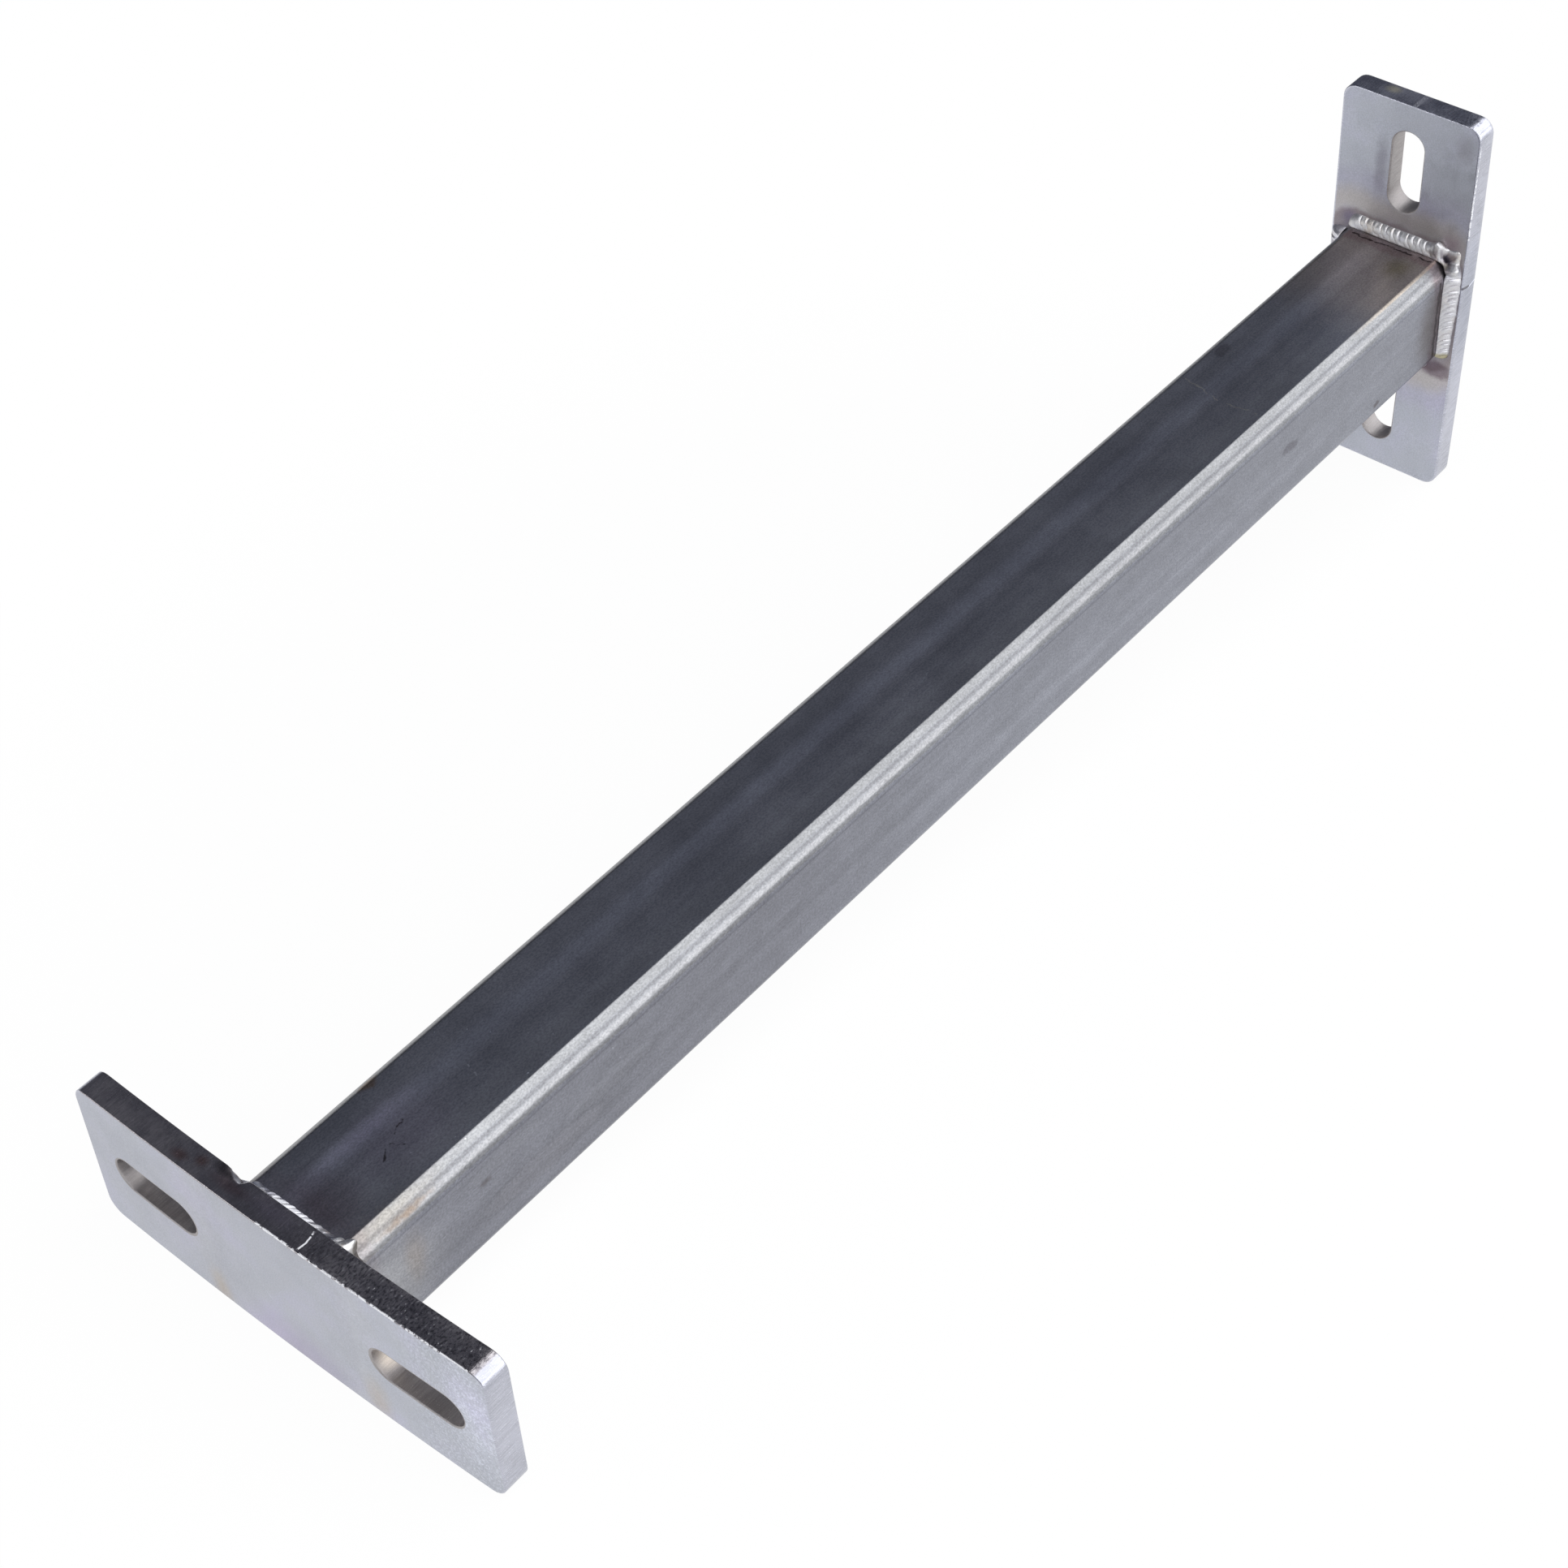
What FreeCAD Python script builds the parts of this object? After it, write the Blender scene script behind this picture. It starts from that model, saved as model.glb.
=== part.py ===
"""Welded mounting bracket: a square tube with a slotted plate welded across each end.

Sizes are in millimetres. +X runs along the tube and +Z is up. The origin is the centre of
the outer face of the cross plate, whose long side lies along Y. The upright plate closes
the other end, with its long side along Z. Each plate is held by four fillet welds, one
along each side of the tube.
"""

import FreeCAD, Part
import math
import os

# Square tube
TUBE_WIDTH = 40.0
TUBE_WALL = 2.5
TUBE_CORNER_RADIUS = 5.0
TUBE_LENGTH = 500.0

# End plates: the ledge is the strip of plate beside the tube, along each long side
PLATE_THICKNESS = 8.0
PLATE_LEDGE = 5.0
PLATE_CORNER_RADIUS = 5.0

# Slots: the offset is from the tube's side to the slot's centre, and the margin is from
# the slot's end to the plate's end
SLOT_WIDTH = 11.5
SLOT_LENGTH = 30.0
SLOT_OFFSET = 26.0
SLOT_END_MARGIN = 10.0

# Fillet welds: the toe margin is the bare strip of ledge outside the bead, and the bulge
# is the height of the bead's face above the line between its toes
WELD_TOE_MARGIN = 0.5
WELD_BULGE = 0.9
RIPPLE_PITCH = 2.5
RIPPLE_HEIGHT = 0.4
CORNER_RIPPLES = 3
BEAD_FLATS = 4

# Where a run's end puddled on its corner: two lumps of metal with a crater between them
LUMP_RADIUS = 2.1
LUMP_ANGLES = (25.0, 65.0)
CRATER_RADIUS = 1.2
CRATER_ANGLE = 45.0

# Sizes that follow
HALF_TUBE = TUBE_WIDTH / 2
FLAT_HALF = HALF_TUBE - TUBE_CORNER_RADIUS
PLATE_WIDTH = TUBE_WIDTH + 2 * PLATE_LEDGE
SLOT_CENTRE = HALF_TUBE + SLOT_OFFSET
PLATE_LENGTH = 2 * (SLOT_CENTRE + SLOT_LENGTH / 2 + SLOT_END_MARGIN)
OVERALL_LENGTH = TUBE_LENGTH + 2 * PLATE_THICKNESS
WELD_LEG = PLATE_LEDGE - WELD_TOE_MARGIN

ORIGIN = FreeCAD.Vector(0, 0, 0)
X_AXIS = FreeCAD.Vector(1, 0, 0)
Z_AXIS = FreeCAD.Vector(0, 0, 1)
ROOT_TWO = math.sqrt(2)


def rounded_bar(start_x, length, size_y, size_z, radius):
    """Bar along the tube's axis whose section is a rectangle with rounded corners."""
    corner = FreeCAD.Vector(start_x, -size_y / 2, -size_z / 2)
    bar = Part.makeBox(length, size_y, size_z, corner)
    long_edges = [edge for edge in bar.Edges if abs(edge.tangentAt(edge.FirstParameter).x) > 0.5]
    return bar.makeFillet(radius, long_edges)


def square_tube():
    """Tube between the plates' inner faces, its wall even round the corners."""
    bore_width = TUBE_WIDTH - 2 * TUBE_WALL
    bore_radius = TUBE_CORNER_RADIUS - TUBE_WALL
    outside = rounded_bar(PLATE_THICKNESS, TUBE_LENGTH, TUBE_WIDTH, TUBE_WIDTH, TUBE_CORNER_RADIUS)
    bore = rounded_bar(PLATE_THICKNESS, TUBE_LENGTH, bore_width, bore_width, bore_radius)
    return outside.cut(bore)


def slot_cutter(centre_y):
    """Round-ended slot through the cross plate, long side along Y."""
    radius = SLOT_WIDTH / 2
    straight = SLOT_LENGTH - SLOT_WIDTH
    corner = FreeCAD.Vector(0, centre_y - straight / 2, -radius)
    cutter = Part.makeBox(PLATE_THICKNESS, straight, SLOT_WIDTH, corner)
    for side in (-1, 1):
        end = FreeCAD.Vector(0, centre_y + side * straight / 2, 0)
        cutter = cutter.fuse(Part.makeCylinder(radius, PLATE_THICKNESS, end, X_AXIS))
    return cutter.removeSplitter()


def cross_plate():
    """Plate at the origin's end, with a slot on each side of the tube."""
    plate = rounded_bar(0, PLATE_THICKNESS, PLATE_LENGTH, PLATE_WIDTH, PLATE_CORNER_RADIUS)
    for side in (-1, 1):
        plate = plate.cut(slot_cutter(side * SLOT_CENTRE))
    return plate


def to_far_end(shape):
    """Shape turned end for end about the middle of the bracket."""
    turned = shape.copy()
    middle = FreeCAD.Vector(OVERALL_LENGTH / 2, 0, 0)
    turned.rotate(middle, Z_AXIS, 180)
    return turned


def upright_plate():
    """The same plate at the far end, turned a quarter so that it stands up."""
    plate = cross_plate()
    plate.rotate(ORIGIN, X_AXIS, 90)
    return to_far_end(plate)


def bead_profile():
    """Points of the bead's face from the tube to the plate, as distances out of each.

    They lie on the circle through both toes whose middle stands WELD_BULGE above the line
    between them. Each point is the pair of distances out of the plate and out of the tube.
    """
    crown = WELD_LEG / ROOT_TWO + WELD_BULGE
    depth = (WELD_LEG ** 2 - crown ** 2) / (2 * ROOT_TWO * crown - 2 * WELD_LEG)
    radius = crown + depth * ROOT_TWO
    toe_angle = math.asin(depth / radius)
    span = math.pi / 2 - 2 * toe_angle
    bearings = [toe_angle + span * index / BEAD_FLATS for index in range(BEAD_FLATS + 1)]
    return [(radius * math.cos(b) - depth, radius * math.sin(b) - depth) for b in bearings]


def bead_outline(y, swell):
    """Points round the bead's section on the tube's top, its middle raised by swell."""
    crown = WELD_LEG / ROOT_TWO + WELD_BULGE
    share = 1 + swell / crown
    root = FreeCAD.Vector(PLATE_THICKNESS, y, HALF_TUBE)
    points = [root]
    for off_plate, off_tube in bead_profile():
        points.append(root + FreeCAD.Vector(off_plate * share, 0, off_tube * share))
    return points


def flat_face(points):
    """Face bounded by straight lines through the points and back to the first."""
    return Part.Face(Part.makePolygon(points + points[:1]))


def ripple(start, end):
    """One ripple of the bead: it widens along Y between two like outlines."""
    narrow = bead_outline(start, -RIPPLE_HEIGHT / 2)
    wide = bead_outline(end, RIPPLE_HEIGHT / 2)
    faces = [flat_face(narrow), flat_face(wide)]
    for index in range(len(narrow)):
        faces.append(flat_face([narrow[index - 1], narrow[index], wide[index], wide[index - 1]]))
    return Part.Solid(Part.Shell(faces))


def straight_bead():
    """Bead over the flat of the tube's top, at the cross plate: each ripple ends in a step."""
    count = max(1, round(2 * FLAT_HALF / RIPPLE_PITCH))
    pitch = 2 * FLAT_HALF / count
    starts = [index * pitch - FLAT_HALF for index in range(count)]
    ripples = [ripple(start, start + pitch) for start in starts]
    return ripples[0].multiFuse(ripples[1:])


def corner_bead():
    """Bead round one corner of the tube, in steps that stand proud by turns."""
    centre = FreeCAD.Vector(0, FLAT_HALF, FLAT_HALF)
    step = 90 / CORNER_RIPPLES
    pieces = []
    for index in range(CORNER_RIPPLES):
        swell = RIPPLE_HEIGHT / 2 if index % 2 else -RIPPLE_HEIGHT / 2
        section = flat_face(bead_outline(FLAT_HALF, swell))
        section.rotate(centre, X_AXIS, -index * step)
        pieces.append(section.revolve(centre, X_AXIS, -step))
    return pieces[0].multiFuse(pieces[1:])


def ball_on_corner(radius, angle, height):
    """Ball over the corner bead: angle from the tube's top, height along both legs."""
    bearing = math.radians(angle)
    reach = TUBE_CORNER_RADIUS + height
    y = FLAT_HALF + reach * math.sin(bearing)
    z = FLAT_HALF + reach * math.cos(bearing)
    return Part.makeSphere(radius, FreeCAD.Vector(PLATE_THICKNESS + height, y, z))


def weld_run():
    """One fillet weld: across the tube's top at the cross plate, then round the corner."""
    return straight_bead().fuse(corner_bead()).removeSplitter()


def cratered_run():
    """A weld run whose end puddled on the corner: two lumps and the crater between them."""
    run = weld_run()
    for angle in LUMP_ANGLES:
        run = run.fuse(ball_on_corner(LUMP_RADIUS, angle, LUMP_RADIUS))
    face_height = WELD_LEG / 2 + WELD_BULGE / ROOT_TWO
    return run.cut(ball_on_corner(CRATER_RADIUS, CRATER_ANGLE, face_height))


def cross_welds():
    """Welds at the cross plate: each starts where the run before it ended."""
    runs = {
        "cross_weld_top": (weld_run(), 0),
        "cross_weld_right": (cratered_run(), 90),
        "cross_weld_bottom": (weld_run(), 180),
        "cross_weld_left": (weld_run(), 270),
    }
    return turned_about_tube(runs)


def upright_welds():
    """Welds at the upright plate, laid the other way round the tube."""
    runs = {
        "upright_weld_top": (cratered_run(), 0),
        "upright_weld_left": (weld_run(), 90),
        "upright_weld_bottom": (weld_run(), 180),
        "upright_weld_right": (weld_run(), 270),
    }
    near = turned_about_tube(runs)
    return {name: to_far_end(run) for name, run in near.items()}


def turned_about_tube(runs):
    """Each run turned about the tube's axis by its own angle in degrees."""
    placed = {}
    for name, (run, angle) in runs.items():
        run.rotate(ORIGIN, X_AXIS, angle)
        placed[name] = run
    return placed


def main():
    """Write one STEP file for each piece."""
    pieces = {
        "square_tube": square_tube(),
        "cross_plate": cross_plate(),
        "upright_plate": upright_plate(),
    }
    pieces.update(cross_welds())
    pieces.update(upright_welds())
    os.makedirs("parts", exist_ok=True)
    for name, shape in pieces.items():
        shape.exportStep("parts/" + name + ".step")
        print(name, "solids", len(shape.Solids), "volume", round(shape.Volume, 1))


main()
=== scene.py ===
"""Looks of the welded mounting bracket: a square steel tube with a slotted plate on each end.

Every shape is worked out in millimetres in the bracket's own frame: +X runs along the tube,
+Z is up, and the origin is the middle of the cross plate's outer face. Meshes are handed to
Blender in metres.
"""

import logging
import math
from dataclasses import dataclass
from enum import Enum
from typing import List, Optional, Sequence, Tuple, Union

import bpy
import numpy as np
from mathutils import Matrix


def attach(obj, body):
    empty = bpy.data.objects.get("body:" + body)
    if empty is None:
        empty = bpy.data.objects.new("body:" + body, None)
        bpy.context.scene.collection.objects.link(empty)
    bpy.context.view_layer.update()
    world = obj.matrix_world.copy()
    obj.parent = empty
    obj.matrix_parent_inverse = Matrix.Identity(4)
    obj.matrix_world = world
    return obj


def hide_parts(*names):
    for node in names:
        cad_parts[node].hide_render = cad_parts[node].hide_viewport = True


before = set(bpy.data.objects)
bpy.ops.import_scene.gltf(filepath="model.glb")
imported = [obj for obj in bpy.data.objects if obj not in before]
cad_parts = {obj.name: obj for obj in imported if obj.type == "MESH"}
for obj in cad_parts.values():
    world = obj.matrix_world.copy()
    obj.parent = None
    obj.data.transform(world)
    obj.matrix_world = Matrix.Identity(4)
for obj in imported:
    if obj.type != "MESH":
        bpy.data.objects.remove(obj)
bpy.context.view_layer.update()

Vec = Tuple[float, float, float]
Socket = bpy.types.NodeSocket
Material = bpy.types.Material
Thing = bpy.types.Object

MILLIMETRE = 0.001
ROOT_TWO = math.sqrt(2)
QUARTER_TURN = math.pi / 2
WHITE: Vec = (1.0, 1.0, 1.0)
LOG = logging.getLogger("bracket")


class End(Enum):
    """The two ends of the tube."""

    NEAR = "cross"
    FAR = "upright"


class Side(Enum):
    """The side of the tube that a weld runs over, with its turn about the tube in degrees.

    The turn is counted at the near end, where a run is first laid out on the tube's top.
    """

    TOP = ("top", 0)
    RIGHT = ("right", 90)
    BOTTOM = ("bottom", 180)
    LEFT = ("left", 270)


@dataclass(frozen=True)
class Sizes:
    """The bracket's own sizes in millimetres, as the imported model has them."""

    tube_half: float = 20.0
    tube_wall: float = 2.5
    corner_radius: float = 5.0
    plate_thickness: float = 8.0
    plate_half_length: float = 71.0
    plate_half_width: float = 25.0
    plate_corner: float = 5.0
    slot_centre: float = 46.0
    slot_half_straight: float = 9.25
    slot_radius: float = 5.75
    overall: float = 516.0
    weld_leg: float = 4.5

    @property
    def flat_half(self) -> float:
        """Half width of the tube's flats."""
        return self.tube_half - self.corner_radius

    @property
    def bead_reach(self) -> float:
        """Distance from the middle of a corner's arc to the middle of the bead round it."""
        return self.corner_radius + self.weld_leg / 2


SIZES = Sizes()


@dataclass
class Patch:
    """A grid of points with a pattern place for each, and which of its faces are kept.

    Attributes:
        points: rows by columns by 3, in millimetres.
        close_rows: the last row joins the first.
        close_columns: the last column joins the first.
        pattern: rows by columns by 2, the pattern place in millimetres, or nothing.
        shade: rows by columns, a number that the finish reads, or nothing for 0.
        finish: rows by columns, the finish of the face that starts at each grid point.
        kept: rows by columns, false where that face is left out.
    """

    points: np.ndarray
    close_rows: bool = True
    close_columns: bool = True
    pattern: Optional[np.ndarray] = None
    shade: Optional[np.ndarray] = None
    finish: Optional[np.ndarray] = None
    kept: Optional[np.ndarray] = None

    def __post_init__(self) -> None:
        """Fill in what was left out: pattern place, shade and finish 0, and every face kept."""
        shape = self.points.shape[:2]
        if self.pattern is None:
            self.pattern = np.zeros(shape + (2,))
        if self.shade is None:
            self.shade = np.zeros(shape)
        if self.finish is None:
            self.finish = np.zeros(shape, int)
        if self.kept is None:
            self.kept = np.ones(shape, bool)

    def faces(self) -> Tuple[np.ndarray, np.ndarray]:
        """Corner indices of the kept faces, and the finish of each.

        A face joins a grid point with the next one along the row and the two below them.

        Returns:
            Faces by 4 corner indices, and one finish number for each face.
        """
        rows, columns = self.points.shape[:2]
        row_count = rows if self.close_rows else rows - 1
        column_count = columns if self.close_columns else columns - 1
        row, column = np.meshgrid(np.arange(row_count), np.arange(column_count), indexing="ij")
        next_row = (row + 1) % rows
        next_column = (column + 1) % columns
        around = ((row, column), (row, next_column), (next_row, next_column), (next_row, column))
        corners = np.stack([down * columns + along for down, along in around], axis=-1)
        kept = self.kept[:row_count, :column_count]
        return corners[kept], self.finish[:row_count, :column_count][kept]


def without_repeats(corners: np.ndarray) -> Tuple[np.ndarray, np.ndarray]:
    """Sort faces into whole ones and those where two neighbouring corners are the same point.

    Args:
        corners: faces by 4 point indices.

    Returns:
        A mask of the faces with four different corners, and for each face the place of the
        corner to drop, or 4 where fewer than three different corners are left.
    """
    same = corners == np.roll(corners, -1, axis=1)
    repeats = same.sum(axis=1)
    crossed = (corners[:, 0] == corners[:, 2]) | (corners[:, 1] == corners[:, 3])
    drop = np.where(repeats == 1, same.argmax(axis=1), 4)
    drop[crossed] = 4
    return (repeats == 0) & ~crossed, drop


def put_in_scene(name: str, data: bpy.types.ID) -> Thing:
    """New object, linked to the scene.

    Args:
        name: its name.
        data: its mesh, lamp or camera.

    Returns:
        The object.
    """
    thing = bpy.data.objects.new(name, data)
    bpy.context.scene.collection.objects.link(thing)
    return thing


def build_piece(name: str, patches: Sequence[Patch], finishes: Sequence[Material]) -> Thing:
    """Join patches into one closed mesh whose faces point outwards.

    Points that lie together become one. The signed volume is a sixth of the sum over the
    triangles of one corner dotted with the cross product of the others, and where it is
    negative every face is turned round.

    Args:
        name: the piece's name.
        patches: the grids that make it up.
        finishes: its materials, in the order of the patches' finish numbers.

    Returns:
        The new object, linked to the scene.
    """
    points = np.concatenate([patch.points.reshape(-1, 3) for patch in patches])
    pattern = np.concatenate([patch.pattern.reshape(-1, 2) for patch in patches])
    shade = np.concatenate([patch.shade.reshape(-1) for patch in patches])
    starts = np.cumsum([0] + [patch.shade.size for patch in patches])
    found = [patch.faces() for patch in patches]
    corners = np.concatenate([part[0] + start for part, start in zip(found, starts)])
    finish = np.concatenate([part[1] for part in found])
    _, first, merged = np.unique(
        np.round(points, 4), axis=0, return_index=True, return_inverse=True
    )
    welded = merged.reshape(-1)[corners]
    one, two, three, four = (points[corners[:, index]] for index in range(4))
    if np.einsum("ij,ij->", one, np.cross(two, three) + np.cross(three, four)) < 0:
        corners = corners[:, ::-1]
        welded = welded[:, ::-1]
    whole, drop = without_repeats(welded)
    triangle = ~whole & (drop < 4)
    keep = np.stack([np.delete(np.arange(4), index) for index in range(4)])[drop[triangle]]
    threes = np.take_along_axis(welded[triangle], keep, axis=1)
    threes_from = np.take_along_axis(corners[triangle], keep, axis=1)
    faces = welded[whole].tolist() + threes.tolist()
    sources = np.concatenate([corners[whole].reshape(-1), threes_from.reshape(-1)])
    finish = np.concatenate([finish[whole], finish[triangle]])
    mesh = bpy.data.meshes.new(name)
    mesh.from_pydata((points[first] * MILLIMETRE).tolist(), [], faces)
    mesh.polygons.foreach_set("material_index", finish.astype(np.int32))
    mesh.polygons.foreach_set("use_smooth", np.ones(len(faces), bool))
    layer = mesh.uv_layers.new(name="pattern")
    layer.data.foreach_set("uv", (pattern[sources] * MILLIMETRE).astype(np.float32).reshape(-1))
    attribute = mesh.attributes.new("shade", "FLOAT", "CORNER")
    attribute.data.foreach_set("value", shade[sources].astype(np.float32))
    for material in finishes:
        mesh.materials.append(material)
    mesh.validate(clean_customdata=False)
    mesh.update()
    return put_in_scene(name, mesh)


class Nodes:
    """A node tree with short ways to add to it."""

    def __init__(self, tree: bpy.types.NodeTree) -> None:
        """Empty a node tree, to fill it anew.

        Args:
            tree: the tree of a material or of the surroundings.
        """
        self.nodes = tree.nodes
        self.links = tree.links
        self.nodes.clear()

    def feed(self, socket: Socket, value: object) -> None:
        """Link a socket to another one, or set it to a plain value.

        Args:
            socket: the socket that is fed.
            value: socket, number, vector or colour.
        """
        if isinstance(value, bpy.types.NodeSocket):
            self.links.new(value, socket)
        elif isinstance(value, tuple) and socket.type == "RGBA":
            socket.default_value = value + (1.0,)
        else:
            socket.default_value = value

    def add(self, kind: str, *values: object, **settings: str) -> bpy.types.Node:
        """Add a node.

        Args:
            kind: the node's type, without the word that all shader nodes start with.
            values: what its first inputs are linked or set to, in their order.
            settings: its properties by name.

        Returns:
            The node.
        """
        node = self.nodes.new("ShaderNode" + kind)
        for name, setting in settings.items():
            setattr(node, name, setting)
        for socket, value in zip(node.inputs, values):
            self.feed(socket, value)
        return node

    def split(self, value: Socket) -> Tuple[Socket, ...]:
        """The three parts of a vector."""
        return tuple(self.add("SeparateXYZ", value).outputs)

    def number(self, operation: str, first: object, second: object = 0.0) -> Socket:
        """Result of a Math node on two sockets or numbers."""
        return self.add("Math", first, second, operation=operation).outputs[0]

    def vector(self, operation: str, first: object, second: object = (0.0, 0.0, 0.0)) -> Socket:
        """Result of a Vector Math node.

        Args:
            operation: the node's operation.
            first: socket or vector.
            second: socket or vector, or the number to scale by.

        Returns:
            The result's socket, a number for a length or a dot product.
        """
        node = self.add("VectorMath", first, operation=operation)
        self.feed(node.inputs[3 if operation == "SCALE" else 1], second)
        return node.outputs[1 if operation in ("LENGTH", "DOT_PRODUCT") else 0]

    def ease(
        self, value: object, low: float, high: float, start: float = 0.0, end: float = 1.0
    ) -> Socket:
        """Smooth change from start to end while a value goes from low to high."""
        parts = (value, low, high, start, end)
        return self.add("MapRange", *parts, interpolation_type="SMOOTHSTEP").outputs[0]

    def within(self, value: Socket, low: float, high: float, soft: float) -> Socket:
        """Mask of one while a value lies between two others, and nothing beyond them.

        Args:
            value: the value's socket.
            low: where the mask is halfway up.
            high: where it is halfway down.
            soft: length over which it rises and falls.

        Returns:
            The mask's socket.
        """
        rise = self.ease(value, low - soft / 2, low + soft / 2)
        fall = self.ease(value, high - soft / 2, high + soft / 2, 1.0, 0.0)
        return self.number("MULTIPLY", rise, fall)

    def all_of(self, *masks: object) -> Socket:
        """Product of several masks.

        Args:
            masks: sockets or numbers.

        Returns:
            The product's socket.
        """
        result = masks[0]
        for mask in masks[1:]:
            result = self.number("MULTIPLY", result, mask)
        return result

    def mix(self, mask: object, first: object, second: object, kind: str = "MIX") -> Socket:
        """Mix of two colours.

        Args:
            mask: how much of the second is taken.
            first: socket or colour.
            second: socket or colour.
            kind: the way of mixing.

        Returns:
            The mixed colour's socket.
        """
        node = self.add("Mix", mask, data_type="RGBA", blend_type=kind)
        self.feed(node.inputs[6], first)
        self.feed(node.inputs[7], second)
        return node.outputs[2]


class Paint(Nodes):
    """A material's nodes, with the object's place in millimetres."""

    def __init__(self, name: str) -> None:
        """Start a material without a shader.

        Args:
            name: the material's name.
        """
        self.material = bpy.data.materials.new(name)
        self.material.use_nodes = True
        super().__init__(self.material.node_tree)
        coordinates = self.add("TexCoord")
        self.place = self.vector("SCALE", coordinates.outputs["Object"], 1 / MILLIMETRE)
        self.x, self.y, self.z = self.split(self.place)

    def noise(
        self,
        stretch: Union[float, Vec],
        detail: float,
        rough: float,
        place: Optional[Socket] = None,
    ) -> Socket:
        """Noise from 0 to 1.

        Args:
            stretch: how many times it varies per millimetre, or that along each axis.
            detail: how many finer layers are added.
            rough: how strong they are.
            place: where it is read, in millimetres, if not at the object's own place.

        Returns:
            The noise's socket.
        """
        if isinstance(stretch, float):
            stretch = (stretch, stretch, stretch)
        node = self.add("TexNoise", self.vector("MULTIPLY", place or self.place, stretch))
        node.inputs["Scale"].default_value = 1.0
        node.inputs["Detail"].default_value = detail
        node.inputs["Roughness"].default_value = rough
        return node.outputs[0]

    def shaken(self, amount: float, stretch: float) -> Socket:
        """The place moved about by noise, for ragged outlines.

        Args:
            amount: the furthest move in millimetres.
            stretch: how many times the noise varies per millimetre.

        Returns:
            The moved place's socket.
        """
        node = self.add("TexNoise", self.place)
        node.inputs["Scale"].default_value = stretch
        node.inputs["Detail"].default_value = 3.0
        centred = self.vector("SUBTRACT", node.outputs[1], (0.5, 0.5, 0.5))
        return self.vector("ADD", self.place, self.vector("SCALE", centred, amount * 2))

    def tint(self, colour: object, *layers: Tuple[object, object]) -> Socket:
        """A colour multiplied by each layer's colour where the layer's mask is one.

        Args:
            colour: socket or colour.
            layers: the mask and the colour of each layer, in turn.

        Returns:
            The new colour's socket.
        """
        for mask, by in layers:
            colour = self.mix(mask, colour, by, "MULTIPLY")
        return colour

    def vary(
        self, colour: object, pattern: Socket, change: float, low: float = 0.3, high: float = 0.7
    ) -> Socket:
        """A colour made darker and brighter by a pattern.

        Args:
            colour: socket or colour.
            pattern: the pattern, from 0 to 1.
            change: how much darker and brighter it gets, as a share of the colour.
            low: the pattern's value where the colour is darkest.
            high: its value where the colour is brightest.

        Returns:
            The new colour's socket.
        """
        level = self.ease(pattern, low, high, 1 - change, 1 + change)
        return self.tint(colour, (1.0, self.grey(level)))

    def grey(self, level: Socket) -> Socket:
        """A colour with the same level in all three parts."""
        return self.add("CombineXYZ", level, level, level).outputs[0]

    def bump(self, height: Socket, depth: float, below: Optional[Socket] = None) -> Socket:
        """Normal of a bumpy surface.

        Args:
            height: the height from 0 to 1.
            depth: how many millimetres the height of 1 stands for.
            below: the normal that the bumps are added to.

        Returns:
            The normal's socket.
        """
        node = self.add("Bump")
        node.inputs["Strength"].default_value = 1.0
        node.inputs["Distance"].default_value = depth * MILLIMETRE
        self.feed(node.inputs["Height"], height)
        if below is not None:
            self.feed(node.inputs["Normal"], below)
        return node.outputs[0]

    def show(self, shader: Socket) -> Material:
        """The material, with this shader on its surface."""
        self.add("OutputMaterial", shader)
        return self.material

    def finish(
        self, colour: object, rough: object, normal: Socket, metallic: object = 1.0
    ) -> Material:
        """The material as bare metal.

        Args:
            colour: socket or colour.
            rough: socket or number.
            normal: the bumps' normal.
            metallic: less than one where the surface scatters light.

        Returns:
            The material.
        """
        shader = self.add("BsdfPrincipled", colour)
        self.feed(shader.inputs["Metallic"], metallic)
        self.feed(shader.inputs["Roughness"], rough)
        self.feed(shader.inputs["Normal"], normal)
        return self.show(shader.outputs[0])


@dataclass(frozen=True)
class Spot:
    """A stain, tint or shiny patch: a soft ellipsoid that colours what lies in it.

    Attributes:
        centre: its middle in millimetres.
        reach: its half sizes in millimetres.
        tint: what the colour is multiplied by.
        soft: share of the reach over which it fades.
        rim: how much darker its edge is than its middle.
    """

    centre: Vec
    reach: Vec
    tint: Vec
    soft: float = 0.5
    rim: float = 0.0

    def lay(self, paint: Paint, place: Socket, colour: Socket) -> Socket:
        """Colour with this spot on it.

        Args:
            paint: the material's nodes.
            place: the place, ragged or plain.
            colour: the colour so far.

        Returns:
            The new colour's socket.
        """
        away = paint.vector("DIVIDE", paint.vector("SUBTRACT", place, self.centre), self.reach)
        distance = paint.vector("LENGTH", away)
        result = paint.tint(colour, (paint.ease(distance, 1 - self.soft, 1.0, 1.0, 0.0), self.tint))
        if self.rim > 0:
            dark = 1 - self.rim
            result = paint.tint(result, (paint.within(distance, 0.86, 1.0, 0.1), (dark, dark, dark)))
        return result


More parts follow.
